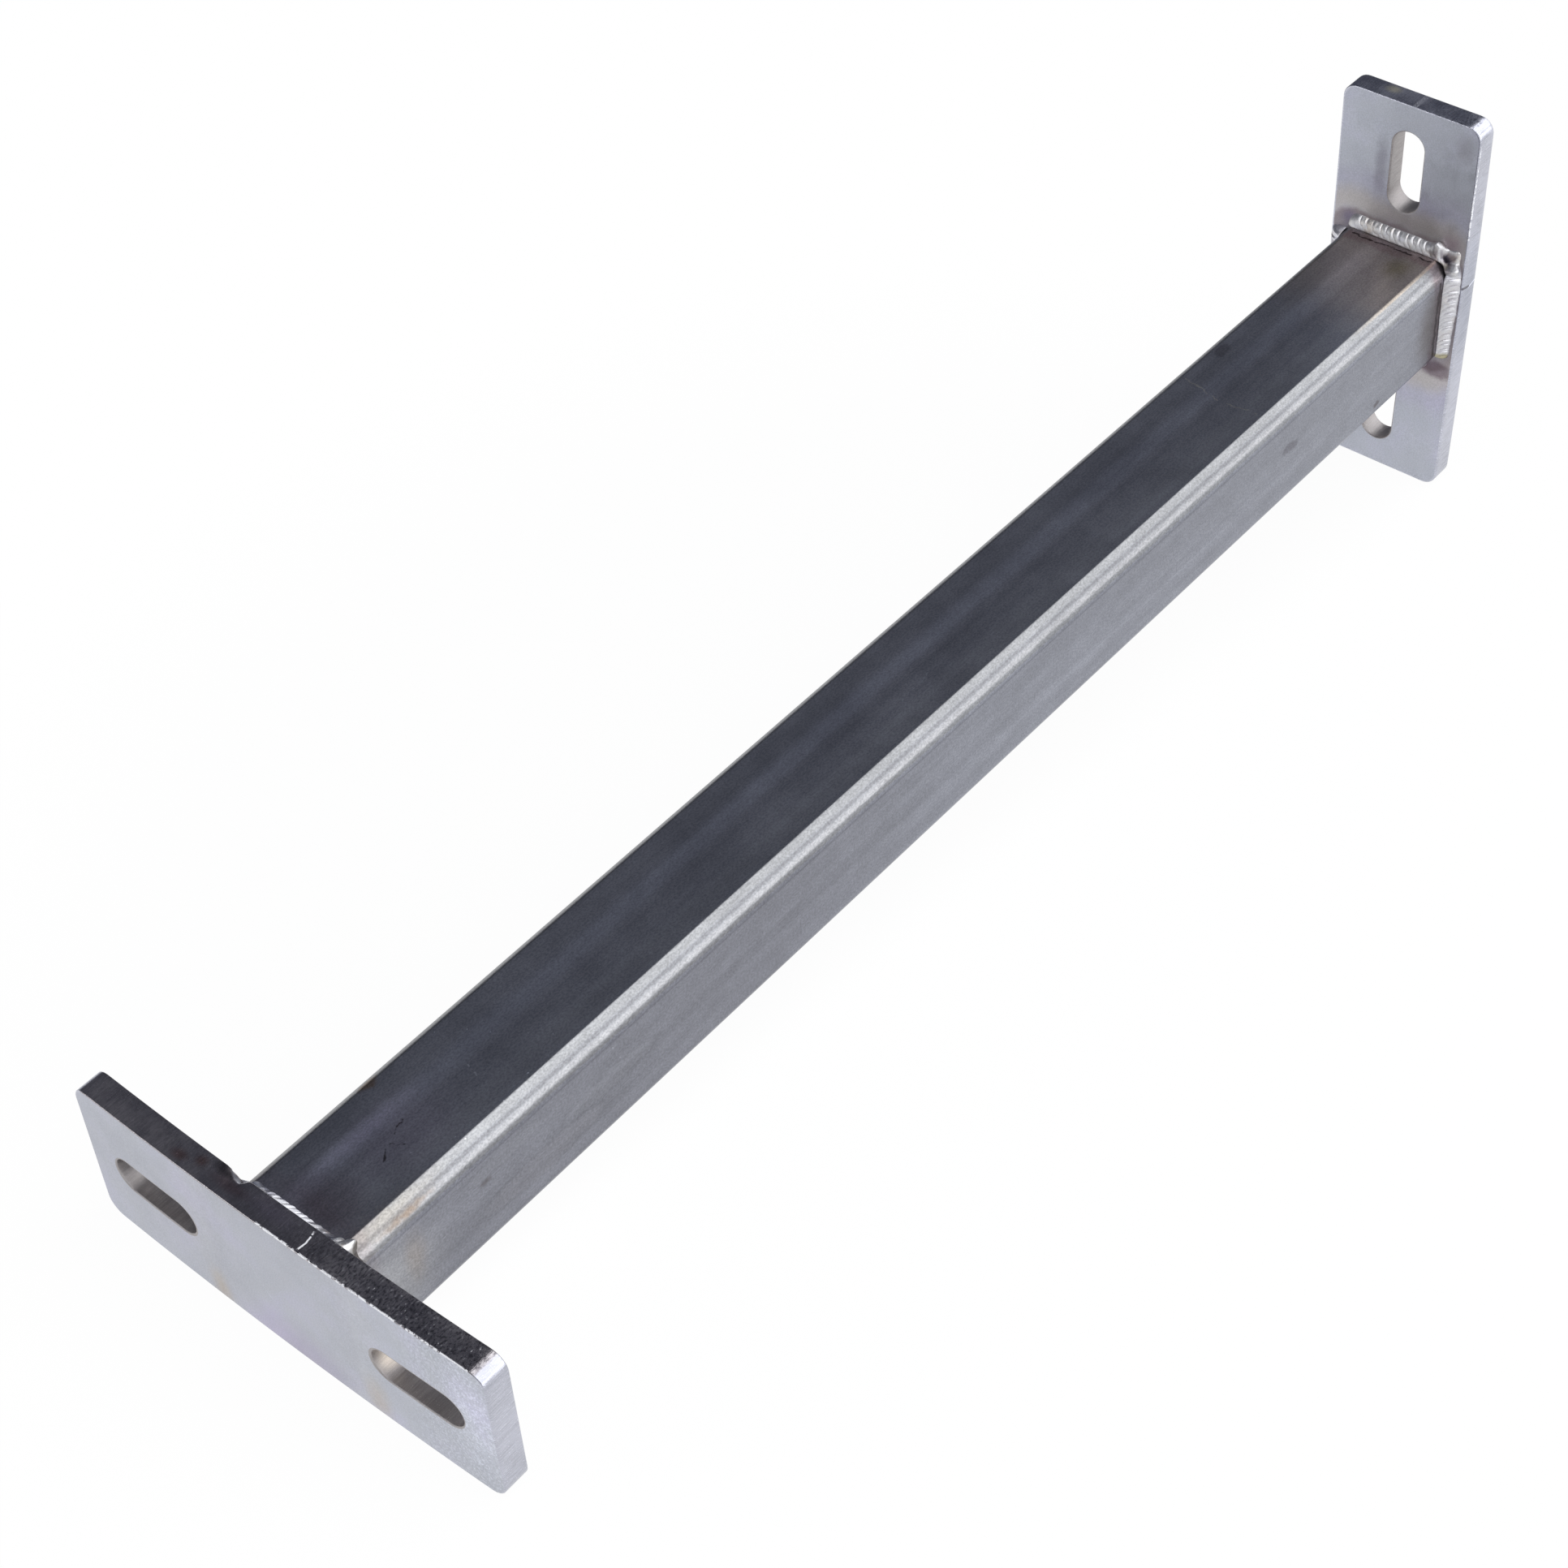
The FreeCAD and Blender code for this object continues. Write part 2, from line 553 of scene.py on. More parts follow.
@dataclass(frozen=True)
class Scratch:
    """A fine line between two points.

    Attributes:
        start: where it begins, in millimetres.
        end: where it ends.
        width: its half width in millimetres.
        tint: what the colour is multiplied by.
    """

    start: Vec
    end: Vec
    width: float
    tint: Vec = WHITE

    def mask(self, paint: Paint, place: Socket) -> Socket:
        """One on the line and nothing beside it.

        The distance is taken to the nearest point between the two ends.

        Args:
            paint: the material's nodes.
            place: the place, ragged or plain.

        Returns:
            The mask's socket.
        """
        along = np.array(self.end) - np.array(self.start)
        length = float(np.linalg.norm(along))
        direction = tuple(float(part) for part in along / length)
        away = paint.vector("SUBTRACT", place, self.start)
        reach = paint.vector("DOT_PRODUCT", away, direction)
        held = paint.number("MINIMUM", paint.number("MAXIMUM", reach, 0.0), length)
        across = paint.vector("SUBTRACT", away, paint.vector("SCALE", direction, held))
        return paint.ease(paint.vector("LENGTH", across), self.width * 0.3, self.width, 1.0, 0.0)

    def lay(self, paint: Paint, place: Socket, colour: Socket) -> Socket:
        """Colour with this line on it."""
        return paint.tint(colour, (self.mask(paint, place), self.tint))


Mark = Union[Spot, Scratch]


def lay_all(marks: Sequence[Mark], paint: Paint, place: Socket, colour: Socket) -> Socket:
    """Colour with every mark laid on it in turn.

    Args:
        marks: the marks.
        paint: the material's nodes.
        place: the place, ragged or plain.
        colour: the colour so far.

    Returns:
        The new colour's socket.
    """
    for mark in marks:
        colour = mark.lay(paint, place, colour)
    return colour


@dataclass(frozen=True)
class TubeSteel:
    """Mill finish of the tube: dark blue-grey steel with lengthwise streaks, stains and heat tints.

    Round its upper corners it also has painted reflection bands and a line of painted shade.

    Attributes:
        base: the steel's own colour.
        roughness: its usual roughness.
        marks: the spots and scratches on it, first the stains and then the fine lines.
    """

    base: Vec = (0.258, 0.268, 0.310)
    roughness: float = 0.36
    marks: Tuple[Mark, ...] = (
        Spot((17, -3, 20), (12, 18, 2.5), (0.76, 0.69, 0.70), 0.9),
        Spot((34, 6, 20), (30, 4.5, 2.5), (1.50, 1.46, 1.50), 0.9),
        Spot((43, -2, 20), (24, 17, 2.5), (1.16, 1.10, 1.14), 0.9),
        Spot((49, 16, 20), (4, 3, 2), (0.85, 0.66, 0.52)),
        Spot((8, -20, -2), (36, 2.6, 24), (1.60, 1.58, 1.46), 0.75),
        Spot((27, -20, 2), (5, 2.5, 14), (1.03, 0.96, 0.88), 0.9),
        Spot((72, -20, -6), (26, 2.5, 5), (1.07, 1.06, 1.05), 0.3, 0.08),
        Spot((98, -20, 1), (20, 2.5, 4), (1.06, 1.06, 1.05), 0.3, 0.07),
        Spot((60, -20, 9), (16, 2.5, 3), (1.05, 1.05, 1.04), 0.3, 0.06),
        Spot((22, -16.5, 18.5), (26, 4.5, 4.5), (1.05, 0.99, 0.90), 0.9),
        Spot((500, -17, 17), (9, 5, 5), (1.14, 1.12, 1.12), 0.9),
        Spot((52, -20, 5), (3, 2, 2), (0.62, 0.58, 0.56), 0.8),
        Spot((415, -20, 3), (5, 2, 2.6), (0.68, 0.66, 0.68), 0.4),
        Spot((468, -20, -13), (2.2, 2, 1.2), (0.55, 0.5, 0.5)),
        Spot((425, 13, 20), (5, 3, 2), (0.72, 0.70, 0.70)),
        Spot((494, -8, 20), (9, 7, 2), (0.66, 0.66, 0.52), 1.0),
        Spot((300, -20, -6), (60, 3, 3), (1.07, 1.07, 1.07), 0.8),
        Spot((28, -18.6, 17), (13, 1.6, 1.6), (0.72, 0.60, 0.50), 0.9),
        Spot((501, -20, 0), (14, 2.5, 24), (0.62, 0.56, 0.51), 0.8),
        Scratch((502.6, 14, 20), (503.2, -15, 20), 0.6, (0.18, 0.16, 0.16)),
        Scratch((502.2, -20, 14), (502.7, -20, -16.5), 1.2, (0.30, 0.27, 0.27)),
        Scratch((100, -20, 13), (103, -20, 5), 0.35, (1.45, 1.45, 1.45)),
        Scratch((34, -5, 20), (39, -2, 20), 0.45, (0.30, 0.28, 0.27)),
        Scratch((39, -2, 20), (41, -5, 20), 0.4, (0.35, 0.32, 0.3)),
        Scratch((42, -1, 20), (47, 1, 20), 0.4, (0.35, 0.32, 0.3)),
        Scratch((67, -6, 20), (69.5, 2, 20), 0.3, (1.6, 1.58, 1.55)),
        Scratch((404, -14, 20), (403, 0, 20), 0.4, (1.5, 1.42, 1.22)),
        Scratch((403, 0, 20), (406, 14, 20), 0.4, (1.5, 1.42, 1.22)),
        Scratch((150, -20, 2), (214, -20, 3.5), 0.25, (1.18, 1.18, 1.18)),
        Scratch((236, -6, 20), (262, -3, 20), 0.22, (1.3, 1.3, 1.3)),
        Scratch((318, 8, 20), (327, 2, 20), 0.22, (1.35, 1.35, 1.35)),
    )

    def painted_corner_sheen(self, paint: Paint, colour: Socket) -> Socket:
        """Colour with painted reflection bands round each upper corner.

        They follow the bearing about the middle of the corner's arc and stand in for the sheen
        that the light leaves there: a bright band before the ridge, a dull one on it, a brighter
        one after it, and a thin dark line of painted shade where the side's flat begins.

        Args:
            paint: the material's nodes.
            colour: the colour so far.

        Returns:
            The new colour's socket.
        """
        over = paint.number("SUBTRACT", paint.number("ABSOLUTE", paint.y), SIZES.flat_half)
        up = paint.number("SUBTRACT", paint.z, SIZES.flat_half)
        bearing = paint.number("DEGREES", paint.number("ARCTAN2", over, up))
        corner = paint.all_of(paint.ease(over, 0.0, 0.4), paint.ease(up, -0.4, 0.0))
        # Painted shade: a thin darker line along the crease where the side's flat begins.
        line = paint.all_of(paint.within(paint.z, 13.1, 13.8, 0.5), paint.ease(over, 4.4, 4.8))
        # Painted reflection: bright and dull bands by the bearing round each upper corner.
        return paint.tint(
            colour,
            (corner, (1.02, 1.01, 0.93)),
            (paint.all_of(corner, paint.within(bearing, 6.0, 32.0, 12.0)), (1.10, 1.09, 1.06)),
            (paint.all_of(corner, paint.within(bearing, 37.0, 49.0, 7.0)), (0.82, 0.81, 0.81)),
            (paint.all_of(corner, paint.within(bearing, 54.0, 76.0, 7.0)), (1.16, 1.14, 1.12)),
            (line, (0.80, 0.80, 0.82)),
        )

    def make(self) -> Material:
        """The tube's material.

        First come the patterns of the mill scale, then the long bands on the top and the side,
        then the painted reflection bands and the painted crease shade round the upper corners,
        then the marks, and last the heat tints by the welds and a few pale specks.

        Returns:
            The material.
        """
        paint = Paint("tube_steel_mill_painted_sheen")
        streaks = paint.noise((0.008, 0.62, 0.62), 5.0, 0.6)
        broad = paint.noise((0.004, 0.16, 0.16), 2.0, 0.5)
        cloud = paint.noise((0.035, 0.05, 0.05), 4.0, 0.6)
        grain = paint.noise((1.3, 1.9, 1.9), 4.0, 0.7)
        mottle = paint.noise((0.12, 0.2, 0.2), 5.0, 0.65)
        dents = paint.noise((0.45, 0.7, 0.7), 3.0, 0.6)
        specks = paint.noise(0.9, 1.0, 0.4)
        wavy_x = paint.split(paint.shaken(5.0, 0.09))[0]
        wavy_y = paint.split(paint.shaken(1.2, 0.02))[1]
        top = paint.ease(paint.z, 19.3, 19.7)
        side = paint.ease(paint.y, -19.6, -19.2, 1.0, 0.0)
        colour = paint.vary(self.base, streaks, 0.035)
        colour = paint.vary(colour, broad, 0.07)
        colour = paint.vary(colour, cloud, 0.05)
        colour = paint.vary(colour, grain, 0.20, 0.33, 0.67)
        colour = paint.vary(colour, mottle, 0.06, 0.32, 0.68)
        colour = paint.tint(
            colour,
            (paint.ease(dents, 0.66, 0.74), (0.80, 0.79, 0.80)),
            (paint.all_of(top, paint.within(wavy_y, 1.5, 7.5, 3.6)), (1.16, 1.17, 1.20)),
            (paint.all_of(top, paint.within(wavy_y, -1.8, 0.0, 2.2)), (0.92, 0.92, 0.93)),
            (paint.all_of(side, paint.ease(wavy_x, 150.0, 270.0, 1.0, 0.0)), (0.81, 0.80, 0.80)),
            (paint.all_of(top, paint.within(wavy_y, -15.0, -8.0, 4.0)), (1.12, 1.12, 1.10)),
        )
        # Painted reflection bands and painted crease shade round the upper corners.
        colour = self.painted_corner_sheen(paint, colour)
        colour = lay_all(self.marks, paint, paint.shaken(1.6, 0.28), colour)
        speck_zone = paint.within(paint.x, 40.0, 110.0, 30.0)
        colour = paint.tint(
            colour,
            (paint.all_of(top, paint.within(wavy_x, 466.0, 512.0, 34.0)), (1.44, 1.25, 1.04)),
            (paint.within(wavy_x, 500.0, 506.0, 3.0), (0.84, 0.74, 0.76)),
            (paint.within(wavy_x, 4.0, 16.0, 5.0), (0.94, 0.90, 0.90)),
            (paint.all_of(speck_zone, top, paint.ease(specks, 0.78, 0.80)), (2.2, 2.2, 2.2)),
        )
        rough = paint.ease(cloud, 0.3, 0.7, self.roughness - 0.015, self.roughness + 0.02)
        return paint.finish(colour, rough, paint.bump(grain, 0.016, paint.bump(streaks, 0.004)))


@dataclass(frozen=True)
class PlateSteel:
    """Face of a plate: pale grey steel with fine grain, heat tints round the weld and stains.

    Attributes:
        name: the material's name.
        marks: the spots and scratches on this plate.
        inner_x: place along the tube of the face with the weld, which has the heat tints.
        tint_zone: distances from the tube's side at which the brown ring begins, gives way to
            the violet one, and ends.
        through: how much of the tints shows on the outer face.
        speckled_to: the y below which the face is speckled, on the right.
        base: the steel's own colour.
        roughness: its usual roughness.
    """

    name: str
    marks: Tuple[Mark, ...]
    inner_x: float = 8.0
    tint_zone: Vec = (4.5, 13.0, 21.0)
    through: float = 0.12
    speckled_to: float = -200.0
    base: Vec = (0.485, 0.505, 0.565)
    roughness: float = 0.44

    def from_tube(self, paint: Paint) -> Socket:
        """Distance from the tube's rounded outline, made ragged.

        It is the length of what the place's height and side distance have above half a flat,
        less the corner's radius.

        Args:
            paint: the material's nodes.

        Returns:
            The distance's socket.
        """
        squares = []
        for part in paint.split(paint.shaken(2.4, 0.12))[1:]:
            over = paint.number("SUBTRACT", paint.number("ABSOLUTE", part), SIZES.flat_half)
            squares.append(paint.number("POWER", paint.number("MAXIMUM", over, 0.0), 2.0))
        length = paint.number("SQRT", paint.number("ADD", *squares))
        return paint.number("SUBTRACT", length, SIZES.corner_radius)

    def make(self) -> Material:
        """The plate face's material.

        The heat tints are soot, a brown ring and a violet ring round the tube. They are strong
        on the inner face and faint at the outer one.

        Returns:
            The material.
        """
        paint = Paint(self.name)
        cloud = paint.noise(0.05, 5.0, 0.6)
        patch = paint.noise(0.16, 4.0, 0.6)
        grain = paint.noise(2.4, 3.0, 0.65)
        colour = paint.vary(self.base, cloud, 0.05)
        colour = paint.vary(colour, patch, 0.03)
        colour = paint.vary(colour, grain, 0.09, 0.33, 0.67)
        distance = self.from_tube(paint)
        begin, middle, end = self.tint_zone
        depth = paint.number("ABSOLUTE", paint.number("SUBTRACT", paint.x, self.inner_x))
        strength = paint.ease(depth, 0.5, 4.0, 1.0, self.through)
        soot = paint.ease(distance, 4.3, 6.6, 1.0, 0.0)
        colour = paint.tint(
            colour,
            (paint.ease(cloud, 0.45, 0.75), (1.0, 0.97, 1.04)),
            (paint.all_of(paint.within(distance, begin, middle, 7.0), strength), (1.02, 0.94, 0.85)),
            (paint.all_of(paint.within(distance, middle, end, 9.0), strength), (0.96, 0.93, 0.98)),
            (paint.all_of(soot, strength), (0.66, 0.59, 0.58)),
        )
        colour = lay_all(self.marks, paint, paint.shaken(1.4, 0.3), colour)
        speckles = paint.ease(paint.noise(1.3, 3.0, 0.75), 0.42, 0.68, 0.90, 1.22)
        zone = paint.ease(paint.y, self.speckled_to - 10, self.speckled_to + 10, 1.0, 0.0)
        colour = paint.tint(colour, (zone, paint.grey(speckles)))
        rough = paint.ease(patch, 0.3, 0.7, self.roughness - 0.05, self.roughness + 0.06)
        return paint.finish(colour, rough, paint.bump(paint.noise(1.0, 5.0, 0.7), 0.016))


@dataclass(frozen=True)
class CutSteel:
    """Cut edge of a plate: fine lines across the thickness, painted sparkle glints and a few marks.

    Attributes:
        name: the material's name.
        base: the steel's own colour.
        roughness: its usual roughness.
        lines: how deep the lines are in millimetres.
        marks: the spots and scratches on it.
        burrs: lines of ragged metal, painted pale and less metallic as highlights.
    """

    name: str
    base: Vec = (0.49, 0.50, 0.57)
    roughness: float = 0.25
    lines: float = 0.038
    marks: Tuple[Mark, ...] = ()
    burrs: Tuple[Scratch, ...] = ()

    def make(self) -> Material:
        """The cut edge's material.

        The lines vary fast along the edge and slowly across the plate's thickness, and they
        get coarser towards the inner face. The plates' upper edges are cut more roughly, with
        dark flecks between bright scraps. The scraps and the burrs are painted pale and less
        metallic as highlights, and the sparkle brightens the colour as painted glints.

        Returns:
            The material.
        """
        paint = Paint(self.name)
        layer = paint.add("UVMap", uv_map="pattern")
        edge = paint.vector("SCALE", layer.outputs[0], 1 / MILLIMETRE)
        across = paint.split(edge)[1]
        fine = paint.noise((2.6, 0.16, 1.0), 4.0, 0.6, edge)
        coarse = paint.noise((0.9, 0.10, 1.0), 3.0, 0.6, edge)
        sparkle = paint.noise((3.0, 2.2, 1.0), 2.0, 0.8, edge)
        fleck = paint.noise((1.5, 0.7, 1.0), 3.0, 0.75, edge)
        cloud = paint.noise(0.06, 4.0, 0.6)
        near_top = paint.all_of(paint.ease(paint.z, 24.2, 24.8), paint.ease(paint.x, 10.0, 20.0, 1.0, 0.0))
        upper = paint.number("MAXIMUM", near_top, paint.ease(paint.z, 70.2, 70.8))
        rough_cut = paint.all_of(upper, paint.ease(paint.y, -28.0, 0.0, 1.0, 0.3))
        colour = paint.vary(self.base, cloud, 0.10)
        colour = paint.vary(colour, fine, 0.14)
        colour = paint.tint(
            colour,
            # Painted glints: the sparkle pattern brightens the colour.
            (paint.ease(sparkle, 0.60, 0.72), (1.9, 1.9, 1.95)),
            (near_top, (0.81, 0.75, 0.68)),
            (paint.all_of(rough_cut, paint.ease(fleck, 0.40, 0.52, 1.0, 0.0)), (0.45, 0.45, 0.47)),
        )
        colour = lay_all(self.marks, paint, paint.place, colour)
        height = paint.all_of(coarse, paint.ease(across, 3.0, 7.5, 0.55, 1.0))
        for part in (fine, sparkle):
            height = paint.number("ADD", height, paint.all_of(part, 0.6))
        metallic = 1.0
        # Burrs and scraps are real rough metal; their pale, less metallic colour is a painted highlight.
        if self.burrs:
            scrap_glint = paint.all_of(rough_cut, paint.ease(fleck, 0.60, 0.68), 0.5)
            torn_glint = paint.number("MAXIMUM", self.torn_glint(paint), scrap_glint)
            colour = paint.mix(torn_glint, colour, (0.82, 0.83, 0.86))
            metallic = paint.ease(torn_glint, 0.0, 1.0, 1.0, 0.15)
        rough = paint.ease(cloud, 0.3, 0.7, self.roughness - 0.04, self.roughness + 0.08)
        return paint.finish(colour, rough, paint.bump(height, self.lines), metallic)

    def torn_glint(self, paint: Paint) -> Socket:
        """One on the burrs, which are ragged and broken up by noise, and nothing beside them.

        Args:
            paint: the material's nodes.

        Returns:
            The mask's socket.
        """
        ragged = paint.shaken(0.3, 0.5)
        torn_glint = self.burrs[0].mask(paint, ragged)
        for burr in self.burrs[1:]:
            torn_glint = paint.number("MAXIMUM", torn_glint, burr.mask(paint, ragged))
        return paint.all_of(torn_glint, paint.ease(paint.noise(0.5, 3.0, 0.7), 0.40, 0.50))


@dataclass(frozen=True)
class WeldMetal:
    """Weld bead: silvery ridges, darker between them, with brown and blue oxide in patches.

    The darkening between the ridges and in the crater is painted shade.

    Attributes:
        name: the material's name.
        base: the metal's own colour.
        oxide: how much of it the coloured oxide covers, from 0 to 1.
        marks: the spots on it.
        ridge_glint_span: the y span whose ridges get painted highlights, lowest and highest.
    """

    name: str
    base: Vec = (0.70, 0.70, 0.74)
    oxide: float = 0.3
    marks: Tuple[Mark, ...] = ()
    ridge_glint_span: Optional[Tuple[float, float]] = None

    def make(self) -> Material:
        """The bead's material.

        The shade attribute is nothing on a ridge, one in a valley and two in the crater. It
        darkens the colour in the valleys and the crater as painted shade.

        Returns:
            The material.
        """
        paint = Paint(self.name)
        valley = paint.add("Attribute", attribute_name="shade").outputs["Fac"]
        cloud = paint.noise(0.22, 4.0, 0.65)
        grain = paint.noise(2.2, 4.0, 0.65)
        colour = paint.vary(self.base, grain, 0.14, 0.25, 0.75)
        # Painted shade: the ripples' valleys and the crater are darkened by the shade attribute.
        colour = paint.tint(
            colour,
            (paint.ease(valley, 0.2, 1.0), (0.60, 0.57, 0.60)),
            (paint.ease(valley, 1.0, 1.8), (0.40, 0.40, 0.46)),
            (paint.all_of(paint.ease(cloud, 0.50, 0.66), self.oxide), (0.88, 0.70, 0.48)),
            (paint.all_of(paint.ease(cloud, 0.34, 0.46, 1.0, 0.0), self.oxide), (0.66, 0.68, 0.84)),
        )
        colour = lay_all(self.marks, paint, paint.shaken(0.8, 0.6), colour)
        metallic = 1.0
        # Painted highlights: ridges in this span turn pale and less metallic, so that they look lit.
        if self.ridge_glint_span:
            ridge = paint.ease(valley, 0.05, 0.35, 1.0, 0.0)
            stretch = paint.within(paint.y, *self.ridge_glint_span, 4.0)
            bright = paint.all_of(stretch, ridge, paint.ease(cloud, 0.38, 0.48))
            colour = paint.mix(bright, colour, (0.86, 0.87, 0.92))
            metallic = paint.ease(bright, 0.0, 1.0, 1.0, 0.2)
        rough = paint.ease(grain, 0.3, 0.7, 0.38, 0.54)
        return paint.finish(colour, rough, paint.bump(grain, 0.03), metallic)


@dataclass
class SquareTube:
    """The tube between the plates, as one closed skin inside and out.

    Attributes:
        flat_y: half width of its top and bottom flats.
        flat_z: height at which its side flats end above.
        flat_low: depth at which they end below.
        crease: turn of the surface where a flat meets an upper corner, in degrees.
        hollow: how far the middle of each flat is sunk.
        stations: how many sections there are along it.
        flat_points: how many points there are across each flat.
    """

    flat_y: float = 15.2
    flat_z: float = 13.7
    flat_low: float = 15.4
    crease: float = 14.0
    hollow: float = 0.05
    stations: int = 110
    flat_points: int = 22

    def corner(self, flat_z: float, crease: float) -> np.ndarray:
        """Points of one corner, from the top's flat to the side's.

        The surface's bearing steps up by the crease, turns slowly, turns fast over the ridge
        a little past the middle, turns slowly again, and steps up to the side's bearing. The
        points are the running sum of the direction at each bearing, stretched to fit between
        the two flats.

        Args:
            flat_z: height at which the side's flat ends.
            crease: the step at the start, in degrees.

        Returns:
            Points by 2: y and z in the corner of the quadrant where both are positive.
        """
        share = [0, 0.04, 0.07, 0.16, 0.35, 0.54, 0.67, 0.74, 0.81, 0.86, 0.90, 0.93, 0.96, 0.98, 1]
        turn = np.radians([0, 0.75 * crease, crease, 22, 28, 32, 37, 46, 57, 61, 64, 66, 68, 72, 90])
        middle = (turn[1:] + turn[:-1]) / 2
        step = np.diff(np.array(share))
        y = np.concatenate([[0], np.cumsum(np.cos(middle) * step)])
        z = np.concatenate([[0], np.cumsum(np.sin(middle) * step)])
        y = self.flat_y + y / y[-1] * (SIZES.tube_half - self.flat_y)
        z = SIZES.tube_half - z / z[-1] * (SIZES.tube_half - flat_z)
        return np.stack([y, z], axis=1)

    def section(self) -> np.ndarray:
        """Points round the tube's outside, as y and z.

        One side with its upper and lower corner is mirrored for the other, with points
        between them on the flats that stand closer together near the corners.

        Returns:
            Points by 2.
        """
        upper = self.corner(self.flat_z, self.crease)
        lower = self.corner(self.flat_low, 1.0)[::-1] * np.array([1, -1])
        spread = np.sin(np.linspace(-0.5, 0.5, self.flat_points) * math.pi)
        spread[[0, -1]] = (-0.995, 0.995)
        edge = np.full(self.flat_points, SIZES.tube_half)
        middle = (self.flat_z - self.flat_low) / 2
        reach = (self.flat_z + self.flat_low) / 2
        right = np.concatenate([upper, np.stack([edge, middle - spread * reach], axis=1), lower])
        left = right[::-1] * np.array([-1, 1])
        bottom = np.stack([-spread * self.flat_y, -edge], axis=1)
        top = np.stack([spread * self.flat_y, edge], axis=1)
        return np.concatenate([right, bottom, left, top])

    def build(self, finish: Material) -> Thing:
        """The tube's piece.

        The outside section is carried from one plate to the other, and the same section
        shrunk about the axis by the wall is carried back inside. Each flat is sunk by a cosine
        of the share of the way from its middle to its corner.

        Args:
            finish: its material.

        Returns:
            The piece.
        """
        section = self.section()
        share = np.clip(section / np.array([self.flat_y, self.flat_z]), -1, 1)
        hollow = self.hollow * np.cos(share * math.pi / 2)
        on_flat = np.abs(section) > SIZES.tube_half - 1e-6
        outside = section - np.sign(section) * on_flat * hollow[:, ::-1]
        inside = section * (1 - SIZES.tube_wall / SIZES.tube_half)
        start, end = SIZES.plate_thickness, SIZES.overall - SIZES.plate_thickness
        loops = [(place, outside) for place in np.linspace(start, end, self.stations)]
        loops += [(end, inside), (start, inside)]
        rows = [np.column_stack([np.full(len(loop), place), loop]) for place, loop in loops]
        piece = build_piece("bracket_tube", [Patch(np.stack(rows))], [finish])
        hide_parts("square_tube")
        return piece


def onward(start: Sequence[float], end: Sequence[float], count: int) -> np.ndarray:
    """Evenly spaced points from after a start to its end, or numbers where those are numbers."""
    return np.linspace(start, end, count + 1)[1:]


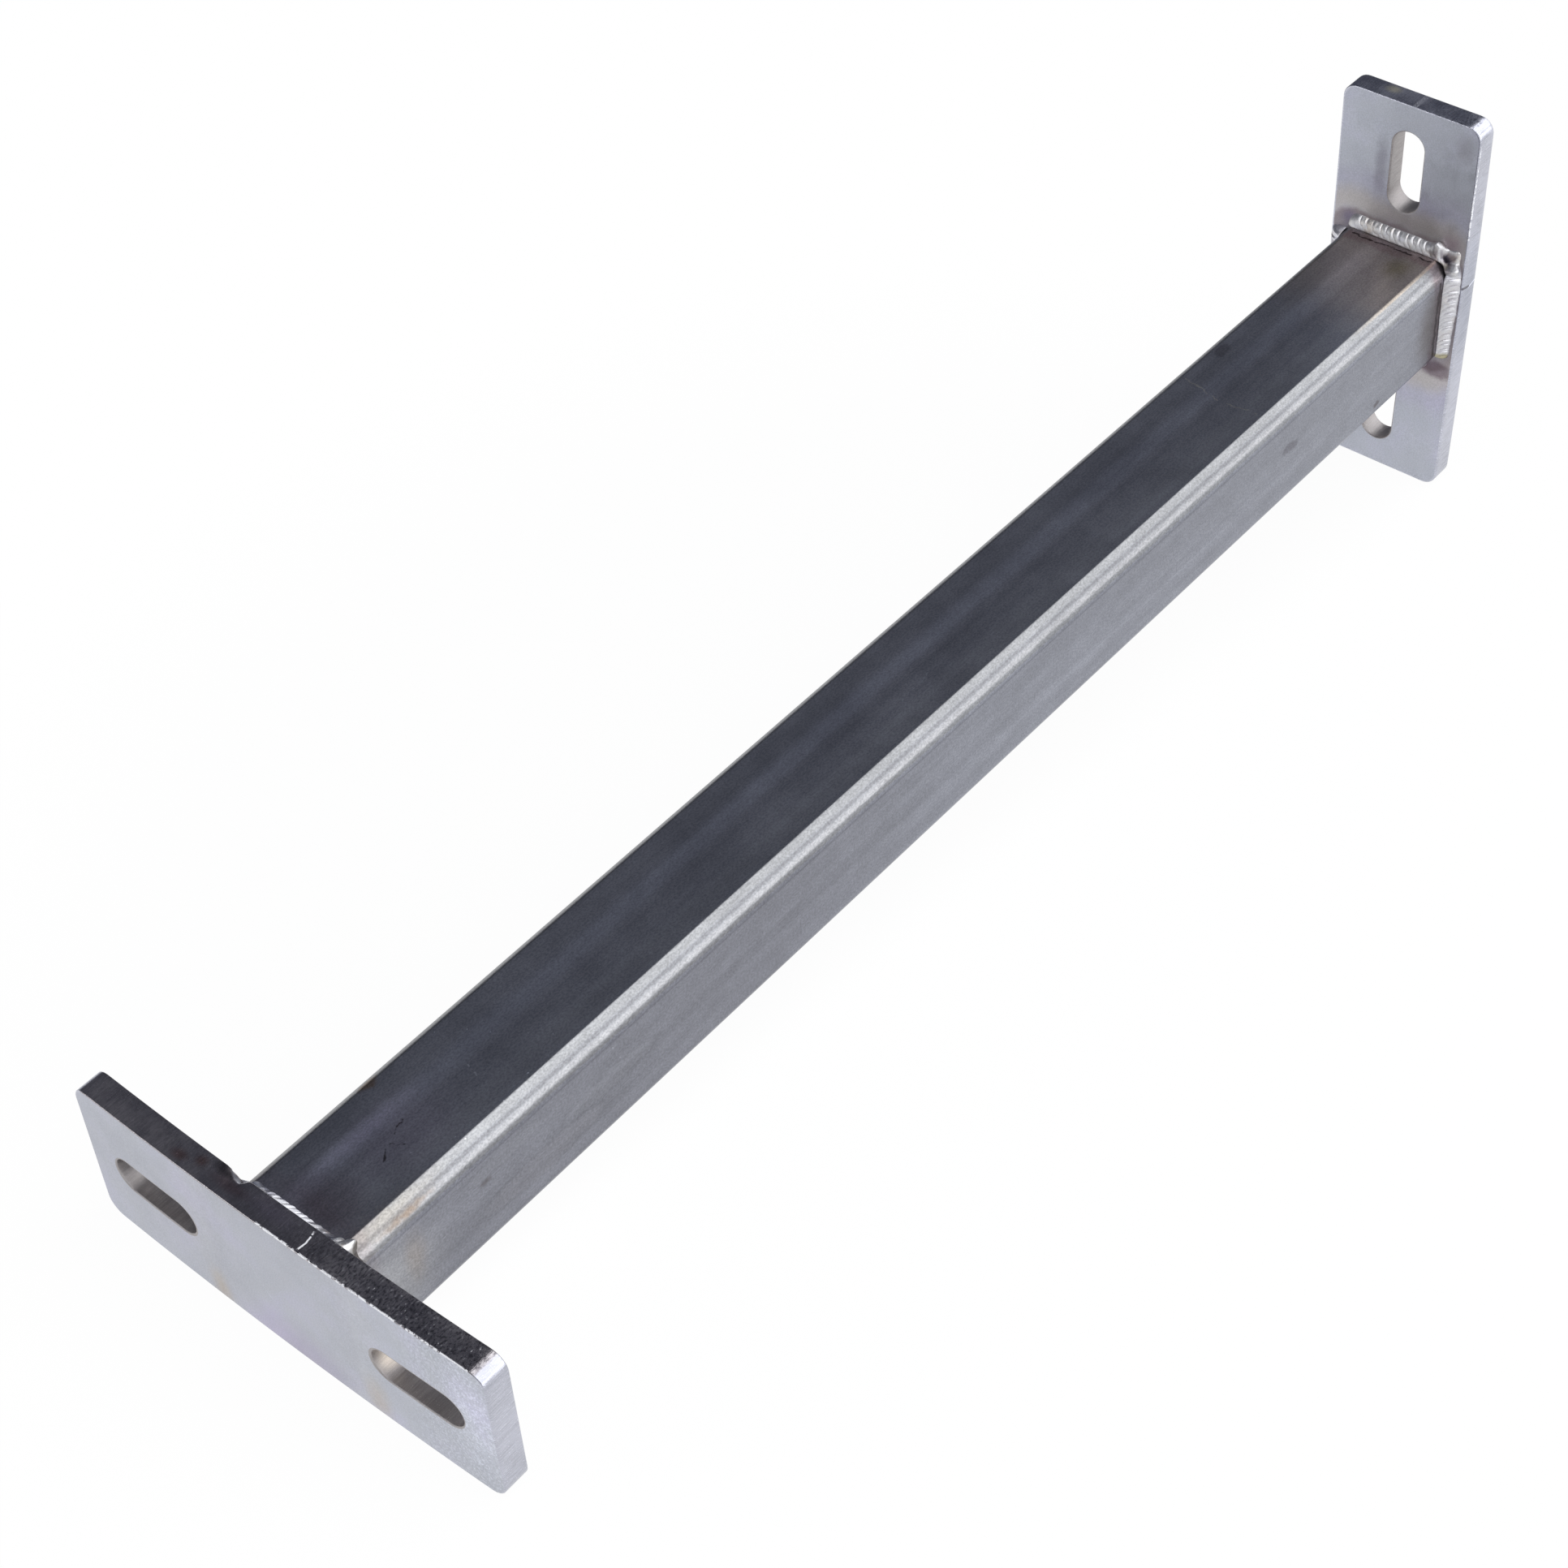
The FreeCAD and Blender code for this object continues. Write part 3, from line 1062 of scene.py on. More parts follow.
@dataclass
class SlottedPlate:
    """A plate with two round-ended slots, slightly bowed towards the tube by its welds.

    Attributes:
        end: which end of the tube it closes.
        bow: how far its ends stand back from its middle, in millimetres.
        edge: radius that the cut left on its edges.
        nicks: places where its edge is melted away: a centre, a depth and a reach.
        counts: points up its end, round its corner, from there to the slot, beside the slot,
            on to its middle, and down its middle.
        face_points: points from a slot's rim to the plate's rim, with both.
        second_half: how far on the second half's pattern starts, past all of the first one's.
    """

    end: End
    bow: float
    edge: float = 0.4
    nicks: Tuple[Tuple[Vec, Vec, float], ...] = ()
    counts: Tuple[int, ...] = (12, 9, 5, 16, 26, 20)
    face_points: int = 22
    second_half: float = 311.0

    def outlines(self) -> Tuple[np.ndarray, ...]:
        """Matching points round one slot and round its half of the plate, with outward directions.

        The loop starts at the plate's end and goes round in four parts on each side of the
        long middle line: the rounded corner, beside the slot, on to the plate's middle, and
        down the plate's middle. The slot's points are shared out over the same four parts.

        Returns:
            Slot points, slot directions, plate points and plate directions, each points by 2.
            Directions are nothing on the plate's middle line, where the two halves join.
        """
        length, width, rounded = SIZES.plate_half_length, SIZES.plate_half_width, SIZES.plate_corner
        centre, straight = SIZES.slot_centre, SIZES.slot_half_straight
        rise, turned, run, beside, on, down = self.counts
        bearing = np.linspace(0, QUARTER_TURN, turned)
        corner = np.stack([np.cos(bearing), np.sin(bearing)], axis=1)
        past_slot = onward([centre + straight, width], [centre - straight, width], beside)
        outer = np.concatenate(
            [
                np.linspace([length, 0], [length, width - rounded], rise, endpoint=False),
                corner * rounded + np.array([length - rounded, width - rounded]),
                onward([length - rounded, width], [centre + straight, width], run),
                past_slot,
                onward([centre - straight, width], [0, width], on),
                onward([0, width], [0, 0], down),
            ]
        )
        way = np.concatenate(
            [
                np.tile([1.0, 0.0], (rise, 1)),
                corner,
                np.tile([0.0, 1.0], (run + beside + on, 1)),
                np.zeros((down, 2)),
            ]
        )
        first = np.linspace(0, QUARTER_TURN, rise + turned + run)
        last = onward(QUARTER_TURN, math.pi, on + down)
        bearing = np.concatenate([first, np.full(beside, QUARTER_TURN), last])
        inner_way = np.stack([np.cos(bearing), np.sin(bearing)], axis=1)
        ends = [np.full(len(first), straight), past_slot[:, 0] - centre, np.full(len(last), -straight)]
        middle = np.concatenate(ends) + centre
        inner = inner_way * SIZES.slot_radius + np.stack([middle, np.zeros(len(middle))], axis=1)
        flip = np.array([1.0, -1.0])
        parts = (inner, inner_way, outer, way)
        return tuple(np.concatenate([part, part[-2:0:-1] * flip]) for part in parts)

    def half(self) -> Patch:
        """One half of the plate in its own frame: along, across and through the thickness.

        Each point of the slot is joined to its point of the outline by a loop: over the outer
        face, round the cut edge, down the side, back over the inner face and up the slot's
        wall.

        Returns:
            The patch, with finish 1 on the side and finish 2 on the slot's wall.
        """
        inner, inner_way, outer, way = self.outlines()
        thick, edge = SIZES.plate_thickness, self.edge
        quarter = np.linspace(0, QUARTER_TURN, 4)
        wall = np.linspace(edge, thick - edge, 8)[1:-1]
        out = np.concatenate([edge * np.sin(quarter), np.full(len(wall), edge), edge * np.sin(quarter[::-1])])
        sunk = edge * (1 - np.cos(quarter))
        deep = np.concatenate([sunk, wall, thick - sunk[::-1]])
        share = (1 - np.cos(np.linspace(0, math.pi, self.face_points))) / 2
        share[[1, -2]] = (0.012, 0.988)
        share = share[1:-1]
        slot_rim = inner + inner_way * edge
        plate_rim = outer - way * edge
        face = slot_rim[:, None] + (plate_rim - slot_rim)[:, None] * share[:, None]
        side = plate_rim[:, None] + way[:, None] * out[:, None]
        slot = slot_rim[:, None] - inner_way[:, None] * out[::-1, None]
        flat = np.concatenate([face, side, face[:, ::-1], slot], axis=1)
        depth = np.concatenate([np.zeros(len(share)), deep, np.full(len(share), thick), deep[::-1]])
        depth = np.tile(depth, (len(outer), 1))
        lengths = np.linalg.norm(np.diff(outer, axis=0, append=outer[:1]), axis=1)
        along = np.concatenate([[0], np.cumsum(lengths)[:-1]])
        pattern = np.dstack([np.tile(along[:, None], (1, depth.shape[1])), depth])
        finish = np.zeros(depth.shape, int)
        side_from = len(share)
        side_to = side_from + len(deep)
        finish[:, side_from:side_to] = 1
        finish[:, side_to + len(share) :] = 2
        kept = np.ones(depth.shape, bool)
        bare = np.linalg.norm(way, axis=1) < 0.5
        kept[np.ix_(bare | np.roll(bare, -1), np.arange(side_from, side_to - 1))] = False
        return Patch(np.dstack([flat, depth]), pattern=pattern, finish=finish, kept=kept)

    def placed(self, points: np.ndarray) -> np.ndarray:
        """Points of the plate's own frame, bowed and put at its end of the tube.

        The bow is the square of the share of the way to the plate's end, times its depth. A
        nick moves the points about its centre by its depth times a bell curve of their
        distance.

        Args:
            points: rows by columns by 3: along, across, through.

        Returns:
            The same points in the bracket's frame.
        """
        along, across, through = points[..., 0], points[..., 1], points[..., 2]
        depth = through + self.bow * (along / SIZES.plate_half_length) ** 2
        if self.end is End.NEAR:
            placed = np.stack([depth, along, across], axis=-1)
        else:
            placed = np.stack([SIZES.overall - depth, across, along], axis=-1)
        for centre, push, reach in self.nicks:
            away = np.linalg.norm(placed - np.array(centre), axis=-1)
            placed = placed + np.array(push) * np.exp(-((away / reach) ** 2))[..., None]
        return placed

    def build(self, face: Material, cut: Material, slot: Material) -> Thing:
        """The plate's piece: one half and its mirror image.

        Args:
            face: material of its faces.
            cut: material of its cut edges.
            slot: material of its slots' walls.

        Returns:
            The piece.
        """
        one = self.half()
        other = Patch(
            self.placed(one.points[::-1] * np.array([-1, 1, 1])),
            pattern=one.pattern[::-1] + np.array([self.second_half, 0.0]),
            finish=one.finish[::-1],
            kept=np.roll(one.kept[::-1], -1, axis=0),
        )
        one.points = self.placed(one.points)
        piece = build_piece(self.end.value + "_plate_slotted", [one, other], [face, cut, slot])
        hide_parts(self.end.value + "_plate")
        return piece


@dataclass(frozen=True)
class Bell:
    """A bell-shaped place on the corner of a weld, of height one.

    Attributes:
        angle: its middle round the tube's corner, in degrees.
        along: its reach along the run, in millimetres.
        middle: its middle across the bead, as a share of the way from the tube to the plate.
        across: its reach across the bead, as such a share.
    """

    angle: float
    along: float
    middle: float
    across: float

    def height(self, distance: np.ndarray, share: np.ndarray) -> np.ndarray:
        """Height at each place: the bell curve of the distance from the middle, both ways.

        Args:
            distance: the distance along the run, as a column.
            share: the place across the bead, as a row.

        Returns:
            Rows by columns.
        """
        away = distance - 2 * SIZES.flat_half - SIZES.bead_reach * math.radians(self.angle)
        return np.exp(-((away / self.along) ** 2) - ((share - self.middle) / self.across) ** 2)


LUMPS = (Bell(2.0, 2.0, 0.66, 0.34), Bell(66.0, 1.5, 0.42, 0.30), Bell(40.0, 1.6, 0.97, 0.26))
CRATER = Bell(34.0, 2.0, 0.47, 0.32)


@dataclass
class WeldRun:
    """One fillet weld: across a flat of the tube and round the corner at its end.

    Attributes:
        end: which plate it holds.
        side: which side of the tube it lies on.
        pitch: distance from ripple to ripple, in millimetres.
        ripple: height of a ripple.
        bulge: height of its face above the line between its toes.
        lean: how far it reaches out from the plate and up it, as shares of its leg.
        thin_end: how much of its thickness is left where it has gone round the corner.
        thin_from: how far past the flat it begins to thin, in millimetres.
        early: how far before the flat it begins, in millimetres.
        soft_start: length over which its start is rounded, in millimetres.
        soft_end: length over which its end is rounded.
        puddled: it ends in lumps with a crater between them.
        lump_height: how far the lumps stand out, in millimetres.
        crater_depth: how deep the crater is, in millimetres.
        rugged: how far the lumps' skin rises and falls.
        end_sink: how far a plain end sinks, in millimetres.
        crescent: how far a ripple's toes lie from its middle, along the run.
        slant: how far a ripple leans along the run from the tube to the plate.
        taper: share of its thickness that it loses from the flat's start to its end.
        seed: makes its unevenness its own.
        sunk: how deep its root lies in the tube and the plate, in millimetres.
        along_count: points along it.
        across_count: points across its face.
    """

    end: End
    side: Side
    pitch: float = 2.3
    ripple: float = 0.42
    bulge: float = 0.9
    lean: Tuple[float, float] = (0.86, 1.0)
    thin_end: float = 1.0
    thin_from: float = 0.5
    early: float = 1.3
    soft_start: float = 1.2
    soft_end: float = 1.3
    puddled: bool = False
    lump_height: float = 2.1
    crater_depth: float = 3.6
    rugged: float = 0.35
    end_sink: float = 0.35
    crescent: float = 1.2
    slant: float = 0.7
    taper: float = 0.0
    seed: int = 1
    sunk: float = 0.05
    along_count: int = 340
    across_count: int = 21

    def path(self) -> Tuple[np.ndarray, np.ndarray, np.ndarray]:
        """Places along the run on the tube's top, where every run is laid out first.

        It goes straight over the flat and then turns about the tube's corner. The distance
        round the corner is counted at the middle of the bead.

        Returns:
            The distance along the run as a column, the points on the tube as y and z, and the
            directions out of the tube as y and z.
        """
        flat = SIZES.flat_half
        corner = SIZES.bead_reach * QUARTER_TURN
        distance = np.linspace(-self.early, 2 * flat + corner + self.soft_end, self.along_count)[:, None]
        turn = np.clip((distance - 2 * flat) / SIZES.bead_reach, 0, QUARTER_TURN)
        out = np.hstack([np.sin(turn), np.cos(turn)])
        straight = np.minimum(distance, 2 * flat) - flat
        beyond = np.maximum(distance - 2 * flat - corner, 0)
        centre = np.hstack([straight, flat - beyond])
        return distance, centre + out * SIZES.corner_radius, out

    def wander(self, distance: np.ndarray, length: float, amount: float, turn: int) -> np.ndarray:
        """Slow unevenness along the run: a sum of five waves with seeded phases.

        Args:
            distance: the distance along the run, as a column.
            length: the longest wave's length in millimetres.
            amount: the sum's usual size.
            turn: which of this run's own sets of phases is used.

        Returns:
            The unevenness at each distance, as a column.
        """
        phases = np.random.default_rng(self.seed * 17 + turn).uniform(0, 2 * math.pi, 5)
        orders = np.arange(1, 6)
        waves = np.sin(distance * 2 * math.pi * orders / length * 1.13 + phases)
        return amount * (waves / np.sqrt(orders)).sum(axis=1, keepdims=True) / 1.6

    def face(self, distance: np.ndarray, share: np.ndarray) -> Tuple[np.ndarray, ...]:
        """The bead's face before its ripples, and how high it stands.

        It is the part of a circle through both toes whose middle stands by the bulge above the
        line between them. The legs and the bulge wander along the run.

        Args:
            distance: the distance along the run, as a column.
            share: the place across the bead, from the tube to the plate.

        Returns:
            Distances out of the plate and out of the tube, and the height over the root.
        """
        leg = SIZES.weld_leg + 2 * self.sunk + self.wander(distance, 23.0, 0.12, 1)
        bulge = self.bulge + self.wander(distance, 17.0, 0.08, 2)
        crown = leg / ROOT_TWO + bulge
        depth = (leg**2 - crown**2) / (2 * ROOT_TWO * crown - 2 * leg)
        radius = crown + depth * ROOT_TWO
        toe = np.arcsin(depth / radius)
        bearing = toe + (QUARTER_TURN - 2 * toe) * share
        return radius * np.cos(bearing) - depth, radius * np.sin(bearing) - depth, crown

    def ripples(self, distance: np.ndarray, share: np.ndarray) -> Tuple[np.ndarray, np.ndarray]:
        """How far the face swells, and how deep each point's valley is.

        Each ripple is an upturned parabola with a sharp valley on each side, bent back towards
        the toes like a crescent. A run's end sinks a little, or else it is puddled.

        Args:
            distance: the distance along the run, as a column.
            share: the place across the bead, from the tube to the plate.

        Returns:
            The swell in millimetres and the valley's depth, rows by columns.
        """
        bow = self.crescent * (1 - (2 * share - 1) ** 2)
        bent = distance + bow + self.wander(distance, 11.0, 0.5, 3)
        bent = bent + self.slant * (share - 0.5)
        arch = 1 - (2 * ((bent / self.pitch) % 1.0) - 1) ** 2
        fade = np.sin(share * math.pi) ** 0.9
        uneven = 1 + self.wander(distance, 7.0, 0.4, 4)
        swell = self.ripple * (arch - 0.6) * fade * uneven
        valley = (1 - arch) ** 2 * fade
        if self.puddled:
            return self.puddle(distance, share, swell, valley)
        end = distance - (distance[-1] - self.soft_end - 4.0)
        drop = np.exp(-((end / 2.0) ** 2) - ((share - 0.5) / 0.3) ** 2)
        return swell - self.end_sink * drop, valley

    def puddle(
        self, distance: np.ndarray, share: np.ndarray, swell: np.ndarray, valley: np.ndarray
    ) -> Tuple[np.ndarray, np.ndarray]:
        """The swell and valleys with the lumps raised, the crater sunk and both made rugged.

        Args:
            distance: the distance along the run, as a column.
            share: the place across the bead, from the tube to the plate.
            swell: how far the face swells without them.
            valley: how deep each point's valley is without them.

        Returns:
            The new swell and valleys, rows by columns.
        """
        lump = sum(place.height(distance, share) for place in LUMPS)
        hole = CRATER.height(distance, share)
        both = np.clip(lump + hole, 0, 1)
        rugged = np.sin(distance * 2.9 + 5 * share) * np.cos(share * 11 - distance * 1.3)
        rugged = rugged * both * np.sin(share * math.pi)
        swell = swell * (1 - 0.75 * both) + self.lump_height * lump
        swell = swell - self.crater_depth * hole + self.rugged * rugged
        return swell, np.clip(valley * (1 - 0.8 * lump) + 2.4 * hole, 0, 2)

    def fullness(self, distance: np.ndarray) -> np.ndarray:
        """Share of the bead's thickness that it has at each distance along the run.

        The ends are rounded off by a quarter of an ellipse, and the bead tapers evenly along
        the flat and then thins by a smooth step past it.

        Args:
            distance: the distance along the run, as a column.

        Returns:
            The shares, as a column.
        """
        before = np.clip((self.soft_start - self.early - distance) / self.soft_start, 0, 1)
        after = np.clip((distance - (distance[-1] - self.soft_end)) / self.soft_end, 0, 1)
        full = np.sqrt(np.clip(1 - before**2 - after**2, 0, 1))
        flat_end = 2 * SIZES.flat_half
        gone = np.clip((distance - flat_end - self.thin_from) / 3.0, 0, 1)
        full = full * (1 - (1 - self.thin_end) * gone * gone * (3 - 2 * gone))
        return full * (1 - self.taper * np.clip(distance / flat_end, 0, 1))

    def surface(self) -> Tuple[np.ndarray, np.ndarray]:
        """The bead as a closed section carried along its run, and how deep each point's valley is.

        The swell moves the face away from the root, in proportion to the bead's height.

        Returns:
            Rows along the run by columns round the section by 3, and rows by columns.
        """
        distance, base, out = self.path()
        share = np.linspace(0, 1, self.across_count)
        off_plate, off_tube, crown = self.face(distance, share)
        swell, valley = self.ripples(distance, share)
        scale = (1 + swell / crown) * self.fullness(distance)
        out_share, up_share = self.lean
        root = np.zeros(distance.shape)
        off_plate = np.hstack([off_plate * scale * out_share, root])
        off_tube = np.hstack([off_tube * scale * up_share, root])
        x = SIZES.plate_thickness - self.sunk + off_plate
        flat = base[:, None] + out[:, None] * (off_tube - self.sunk)[..., None]
        return np.dstack([x, flat]), np.hstack([valley, np.ones(distance.shape)])

    def build(self, finish: Material) -> Thing:
        """The weld's piece.

        The run laid out on the top is turned about the tube to its own side. A far run is turned
        the other way, and then end for end, which changes the signs of x and y about the middle.

        Args:
            finish: its material.

        Returns:
            The piece.
        """
        points, shade = self.surface()
        word, degrees = self.side.value
        turn = math.radians(degrees if self.end is End.NEAR else -degrees)
        x, across, up = points[..., 0], points[..., 1], points[..., 2]
        y = across * math.cos(turn) - up * math.sin(turn)
        z = across * math.sin(turn) + up * math.cos(turn)
        if self.end is End.FAR:
            x = SIZES.overall - x
            y = -y
        patch = Patch(np.stack([x, y, z], axis=-1), close_rows=False, shade=shade)
        name = self.end.value + "_weld_" + word
        piece = build_piece(name + "_bead", [patch], [finish])
        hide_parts(name)
        return piece


def facing(side: Sequence[float], back: Sequence[float], centre: Vec) -> Matrix:
    """Placing of a camera or lamp, which looks away from its back.

    Its up direction is the cross product of back and side, and side is then taken again as
    the cross product of up and back, so that all three stand square.

    Args:
        side: about the direction of its right.
        back: the direction of its back.
        centre: its place in metres.

    Returns:
        The matrix.
    """
    back = np.array(back) / np.linalg.norm(back)
    up = np.cross(back, side)
    up /= np.linalg.norm(up)
    turned = np.eye(4)
    turned[:3] = np.stack([np.cross(up, back), up, back, centre], axis=1)
    return Matrix(turned.tolist())


@dataclass
class Studio:
    """Floor, light and camera.

    Attributes:
        camera_place: the camera's place in metres.
        right: direction of the picture's right.
        forward: direction in which the camera looks.
        lens: its lens in millimetres on a sensor of 36.
        board: the floor board's lowest and highest x and its half width, in millimetres.
        board_gap: how far below the plates the board lies.
        fade_centre: place in millimetres about which the board's shadow shows.
        fade_reach: distances from there over which it has faded out.
        lit: share of the board's white that is left to the light.
        panel_light: how bright the panels are, as shares of white.
        sky: colour of the surroundings overhead.
        flag: direction of the dark screen behind the tube's left side.
    """

    camera_place: Vec = (-0.23452, -0.38949, 0.59717)
    right: Vec = (0.6379, -0.76874, -0.04607)
    forward: Vec = (0.5234, 0.47664, -0.7063)
    lens: float = 68.99
    board: Vec = (-130.0, 700.0, 360.0)
    board_gap: float = 0.02
    fade_centre: Vec = (260.0, 0.0, -50.0)
    fade_reach: Vec = (380.0, 320.0, 400.0)
    lit: float = 0.05
    panel_light: float = 2.0
    sky: Vec = (0.088, 0.093, 0.118)
    flag: Vec = (0.5, 0.86, 0.0)

    def camera(self) -> None:
        """Put the camera where the picture was taken from."""
        data = bpy.data.cameras.new("camera")
        data.lens = self.lens
        data.sensor_width = 36.0
        data.clip_start = 0.01
        camera = put_in_scene("camera", data)
        camera.matrix_world = facing(self.right, -np.array(self.forward), self.camera_place)
        bpy.context.scene.camera = camera

    def floor(self) -> None:
        """White board under both plates: it slopes from one plate's foot to the other's.

        What the camera and the reflections see of it is mostly plain white, and the rest is
        lit, so that it keeps a soft shadow, which fades out towards the board's edges.
        """
        drop = SIZES.plate_half_length - SIZES.plate_half_width
        slope = drop / (SIZES.overall - SIZES.plate_thickness)
        near, far, half = self.board
        low = -SIZES.plate_half_width - self.board_gap
        corners = ((near, -half), (far, -half), (far, half), (near, half))
        points = np.array([(x, y, low - slope * x) for x, y in corners])
        mesh = bpy.data.meshes.new("floor_board")
        mesh.from_pydata((points * MILLIMETRE).tolist(), [], [[0, 1, 2, 3]])
        paint = Paint("floor_white")
        away = paint.vector("SUBTRACT", paint.place, self.fade_centre)
        share = paint.vector("LENGTH", paint.vector("DIVIDE", away, self.fade_reach))
        lit = paint.all_of(paint.ease(share, 0.55, 0.98, 1.0, 0.0), self.lit)
        rays = paint.add("LightPath").outputs
        seen = paint.number("MAXIMUM", rays["Is Camera Ray"], rays["Is Glossy Ray"])
        seen = paint.number("MAXIMUM", seen, rays["Is Transmission Ray"])
        white = paint.all_of(seen, paint.number("SUBTRACT", 1.0, lit))
        diffuse = paint.add("BsdfDiffuse", (0.86, 0.86, 0.86))
        glow = paint.add("Emission", WHITE)
        mixed = paint.add("MixShader", white, diffuse.outputs[0], glow.outputs[0])
        mesh.materials.append(paint.show(mixed.outputs[0]))
        put_in_scene("floor_board", mesh)

    def world(self) -> None:
        """Surroundings: white to the camera, else white below and dark above and on the flag."""
        world = bpy.data.worlds.new("surroundings")
        world.use_nodes = True
        web = Nodes(world.node_tree)
        direction = web.add("TexCoord").outputs["Generated"]
        overhead = web.ease(web.split(direction)[2], 0.0, 0.26)
        screen = web.ease(web.vector("DOT_PRODUCT", direction, self.flag), 0.72, 0.92)
        shade = web.mix(web.number("MAXIMUM", overhead, screen), WHITE, self.sky)
        seen = web.mix(web.add("LightPath").outputs["Is Camera Ray"], shade, WHITE)
        web.add("OutputWorld", web.add("Background", seen).outputs[0])
        bpy.context.scene.world = world

    def panel(self, name: str, centre: Vec, size: Tuple[float, float], aim: Vec, level: float) -> None:
        """Soft light panel that faces a point.

        Its energy is its level times pi times its area, so that its face is as bright as a
        white one at that level.

        Args:
            name: the lamp's name.
            centre: its middle in metres.
            size: its two sides in metres.
            aim: the point that it faces.
            level: how bright its face is, as a share of the studio's panel light.
        """
        data = bpy.data.lights.new(name, "AREA")
        data.shape = "RECTANGLE"
        data.size, data.size_y = size
        data.energy = self.panel_light * level * math.pi * size[0] * size[1]
        back = np.array(centre) - np.array(aim)
        across = (0.0, 1.0, 0.0) if abs(back[1]) < 0.9 * np.linalg.norm(back) else (0.0, 0.0, 1.0)
        lamp = put_in_scene(name, data)
        lamp.matrix_world = facing(np.cross(across, back), back, centre)
        lamp.visible_camera = False

    def build(self) -> None:
        """Set the view transform and make the camera, floor, surroundings and light."""
        bpy.context.scene.view_settings.view_transform = "Standard"
        self.camera()
        self.floor()
        self.world()
        self.panel("overhead_panel", (2.0, -2.33, 1.5), (7.0, 4.95), (2.0, -2.33, 0.0), 1.0)
        self.panel("right_panel", (3.0, -4.8, 0.68), (9.0, 1.6), (3.0, 0.0, 0.68), 1.05)
        self.panel("left_panel", (-1.6, 1.1, 0.85), (0.7, 0.7), (0.0, 0.0, 0.0), 1.5)


CROSS_FACE = PlateSteel(
    "cross_plate_face",
    marks=(
        Spot((0, 26.5, -21), (9, 5.5, 12), (0.99, 0.89, 0.76), 1.0),
        Spot((0, -30, -19), (9, 6.5, 13), (0.99, 0.91, 0.80), 1.0),
        Spot((0, -2, -22), (9, 27, 15), (0.96, 0.89, 1.0), 1.0),
        Spot((0, -66, 2), (9, 14, 30), (1.17, 1.17, 1.18), 0.8),
        Spot((0, 50, 0), (9, 44, 44), (0.95, 0.94, 0.94), 0.8),
        Scratch((0, 4, -9), (0, 12, 5), 0.2, (1.25, 1.25, 1.25)),
        Scratch((0, -40, 17), (0, -22, 14), 0.2, (1.25, 1.25, 1.25)),
    ),
    speckled_to=-45.0,
)
UPRIGHT_FACE = PlateSteel(
    "upright_plate_face",
    inner_x=508.0,
    roughness=0.56,
    marks=(
        Spot((508, 9, 45), (3, 3.5, 16), (0.72, 0.70, 0.72), 0.8),
        Spot((508, -19, -24.0), (3, 8.5, 4.6), (0.52, 0.46, 0.50), 0.55),
        Spot((508, 19, 22), (3, 5, 5), (0.75, 0.74, 0.86), 0.9),
        Spot((508, -19, 26), (3, 6, 6), (0.78, 0.70, 0.76), 0.9),
        Spot((508, -20, 62), (3, 5, 8), (0.85, 0.83, 0.83), 0.8),
        Scratch((508, -14, 40), (508, -20, 55), 0.2, (1.3, 1.3, 1.3)),
        Scratch((508, 14, 58), (508, 18, 38), 0.2, (1.2, 1.2, 1.2)),
    ),
)
CUT_EDGE = CutSteel(
    "cut_edge",
    marks=(
        Scratch((508, -25, 10.8), (512, -25, 9.8), 0.7, (0.30, 0.28, 0.29)),
        Scratch((512, -25, 9.4), (516, -25, 10.6), 0.5, (2.0, 2.0, 2.0)),
        Spot((512, 10, 71), (3, 4, 2), (1.6, 1.5, 1.1), 0.8),
        Spot((4, 16, 25), (3, 9, 2), (0.86, 0.72, 0.72), 0.9),
        Spot((4, -44, 25), (6, 34, 2), (0.62, 0.63, 0.67), 0.7),
        Spot((3, 33, 25), (2.5, 4, 2), (0.80, 0.62, 0.58), 0.9),
        Spot((5, 27, 25), (2.5, 3, 2), (0.78, 0.60, 0.56), 0.9),
        Spot((512, -25, 6), (6, 2, 42), (0.83, 0.85, 0.88), 0.8),
        Spot((7, 20, 24), (3, 6, 3), (0.30, 0.29, 0.30), 0.6),
        Spot((5, 2, 25), (4, 12, 2), (1.12, 1.08, 1.16), 0.9),
    ),
    burrs=(
        Scratch((0.2, -10.6, 25), (3.4, -11.0, 25), 0.42),
        Scratch((3.4, -11.0, 25), (6.8, -10.2, 25), 0.42),
        Scratch((0.2, 3, 24.8), (0.45, -35, 24.8), 0.5),
        Scratch((0.45, -35, 24.8), (1.1, -66, 24.8), 0.5),
        Scratch((507.8, -24.8, 66), (507.9, -24.8, 30), 0.4),
    ),
)
SLOT_WALL = CutSteel(
    "slot_wall",
    base=(0.36, 0.34, 0.34),
    roughness=0.42,
    lines=0.05,
    # Painted light: one end of each slot's wall on the cross plate is brightened.
    marks=(
        Spot((4, 53, 0), (5, 3.0, 9), (1.7, 1.68, 1.66), 0.9),
        Spot((4, -33, 0), (5, 3.4, 9), (1.9, 1.8, 1.55), 0.9),
    ),
)
NOTCH = (
    ((8.0, 18.6, 25.0), (-0.7, 0.0, -0.9), 0.9),
    ((8.0, 15.9, 25.0), (-1.1, 0.0, -2.0), 1.6),
)

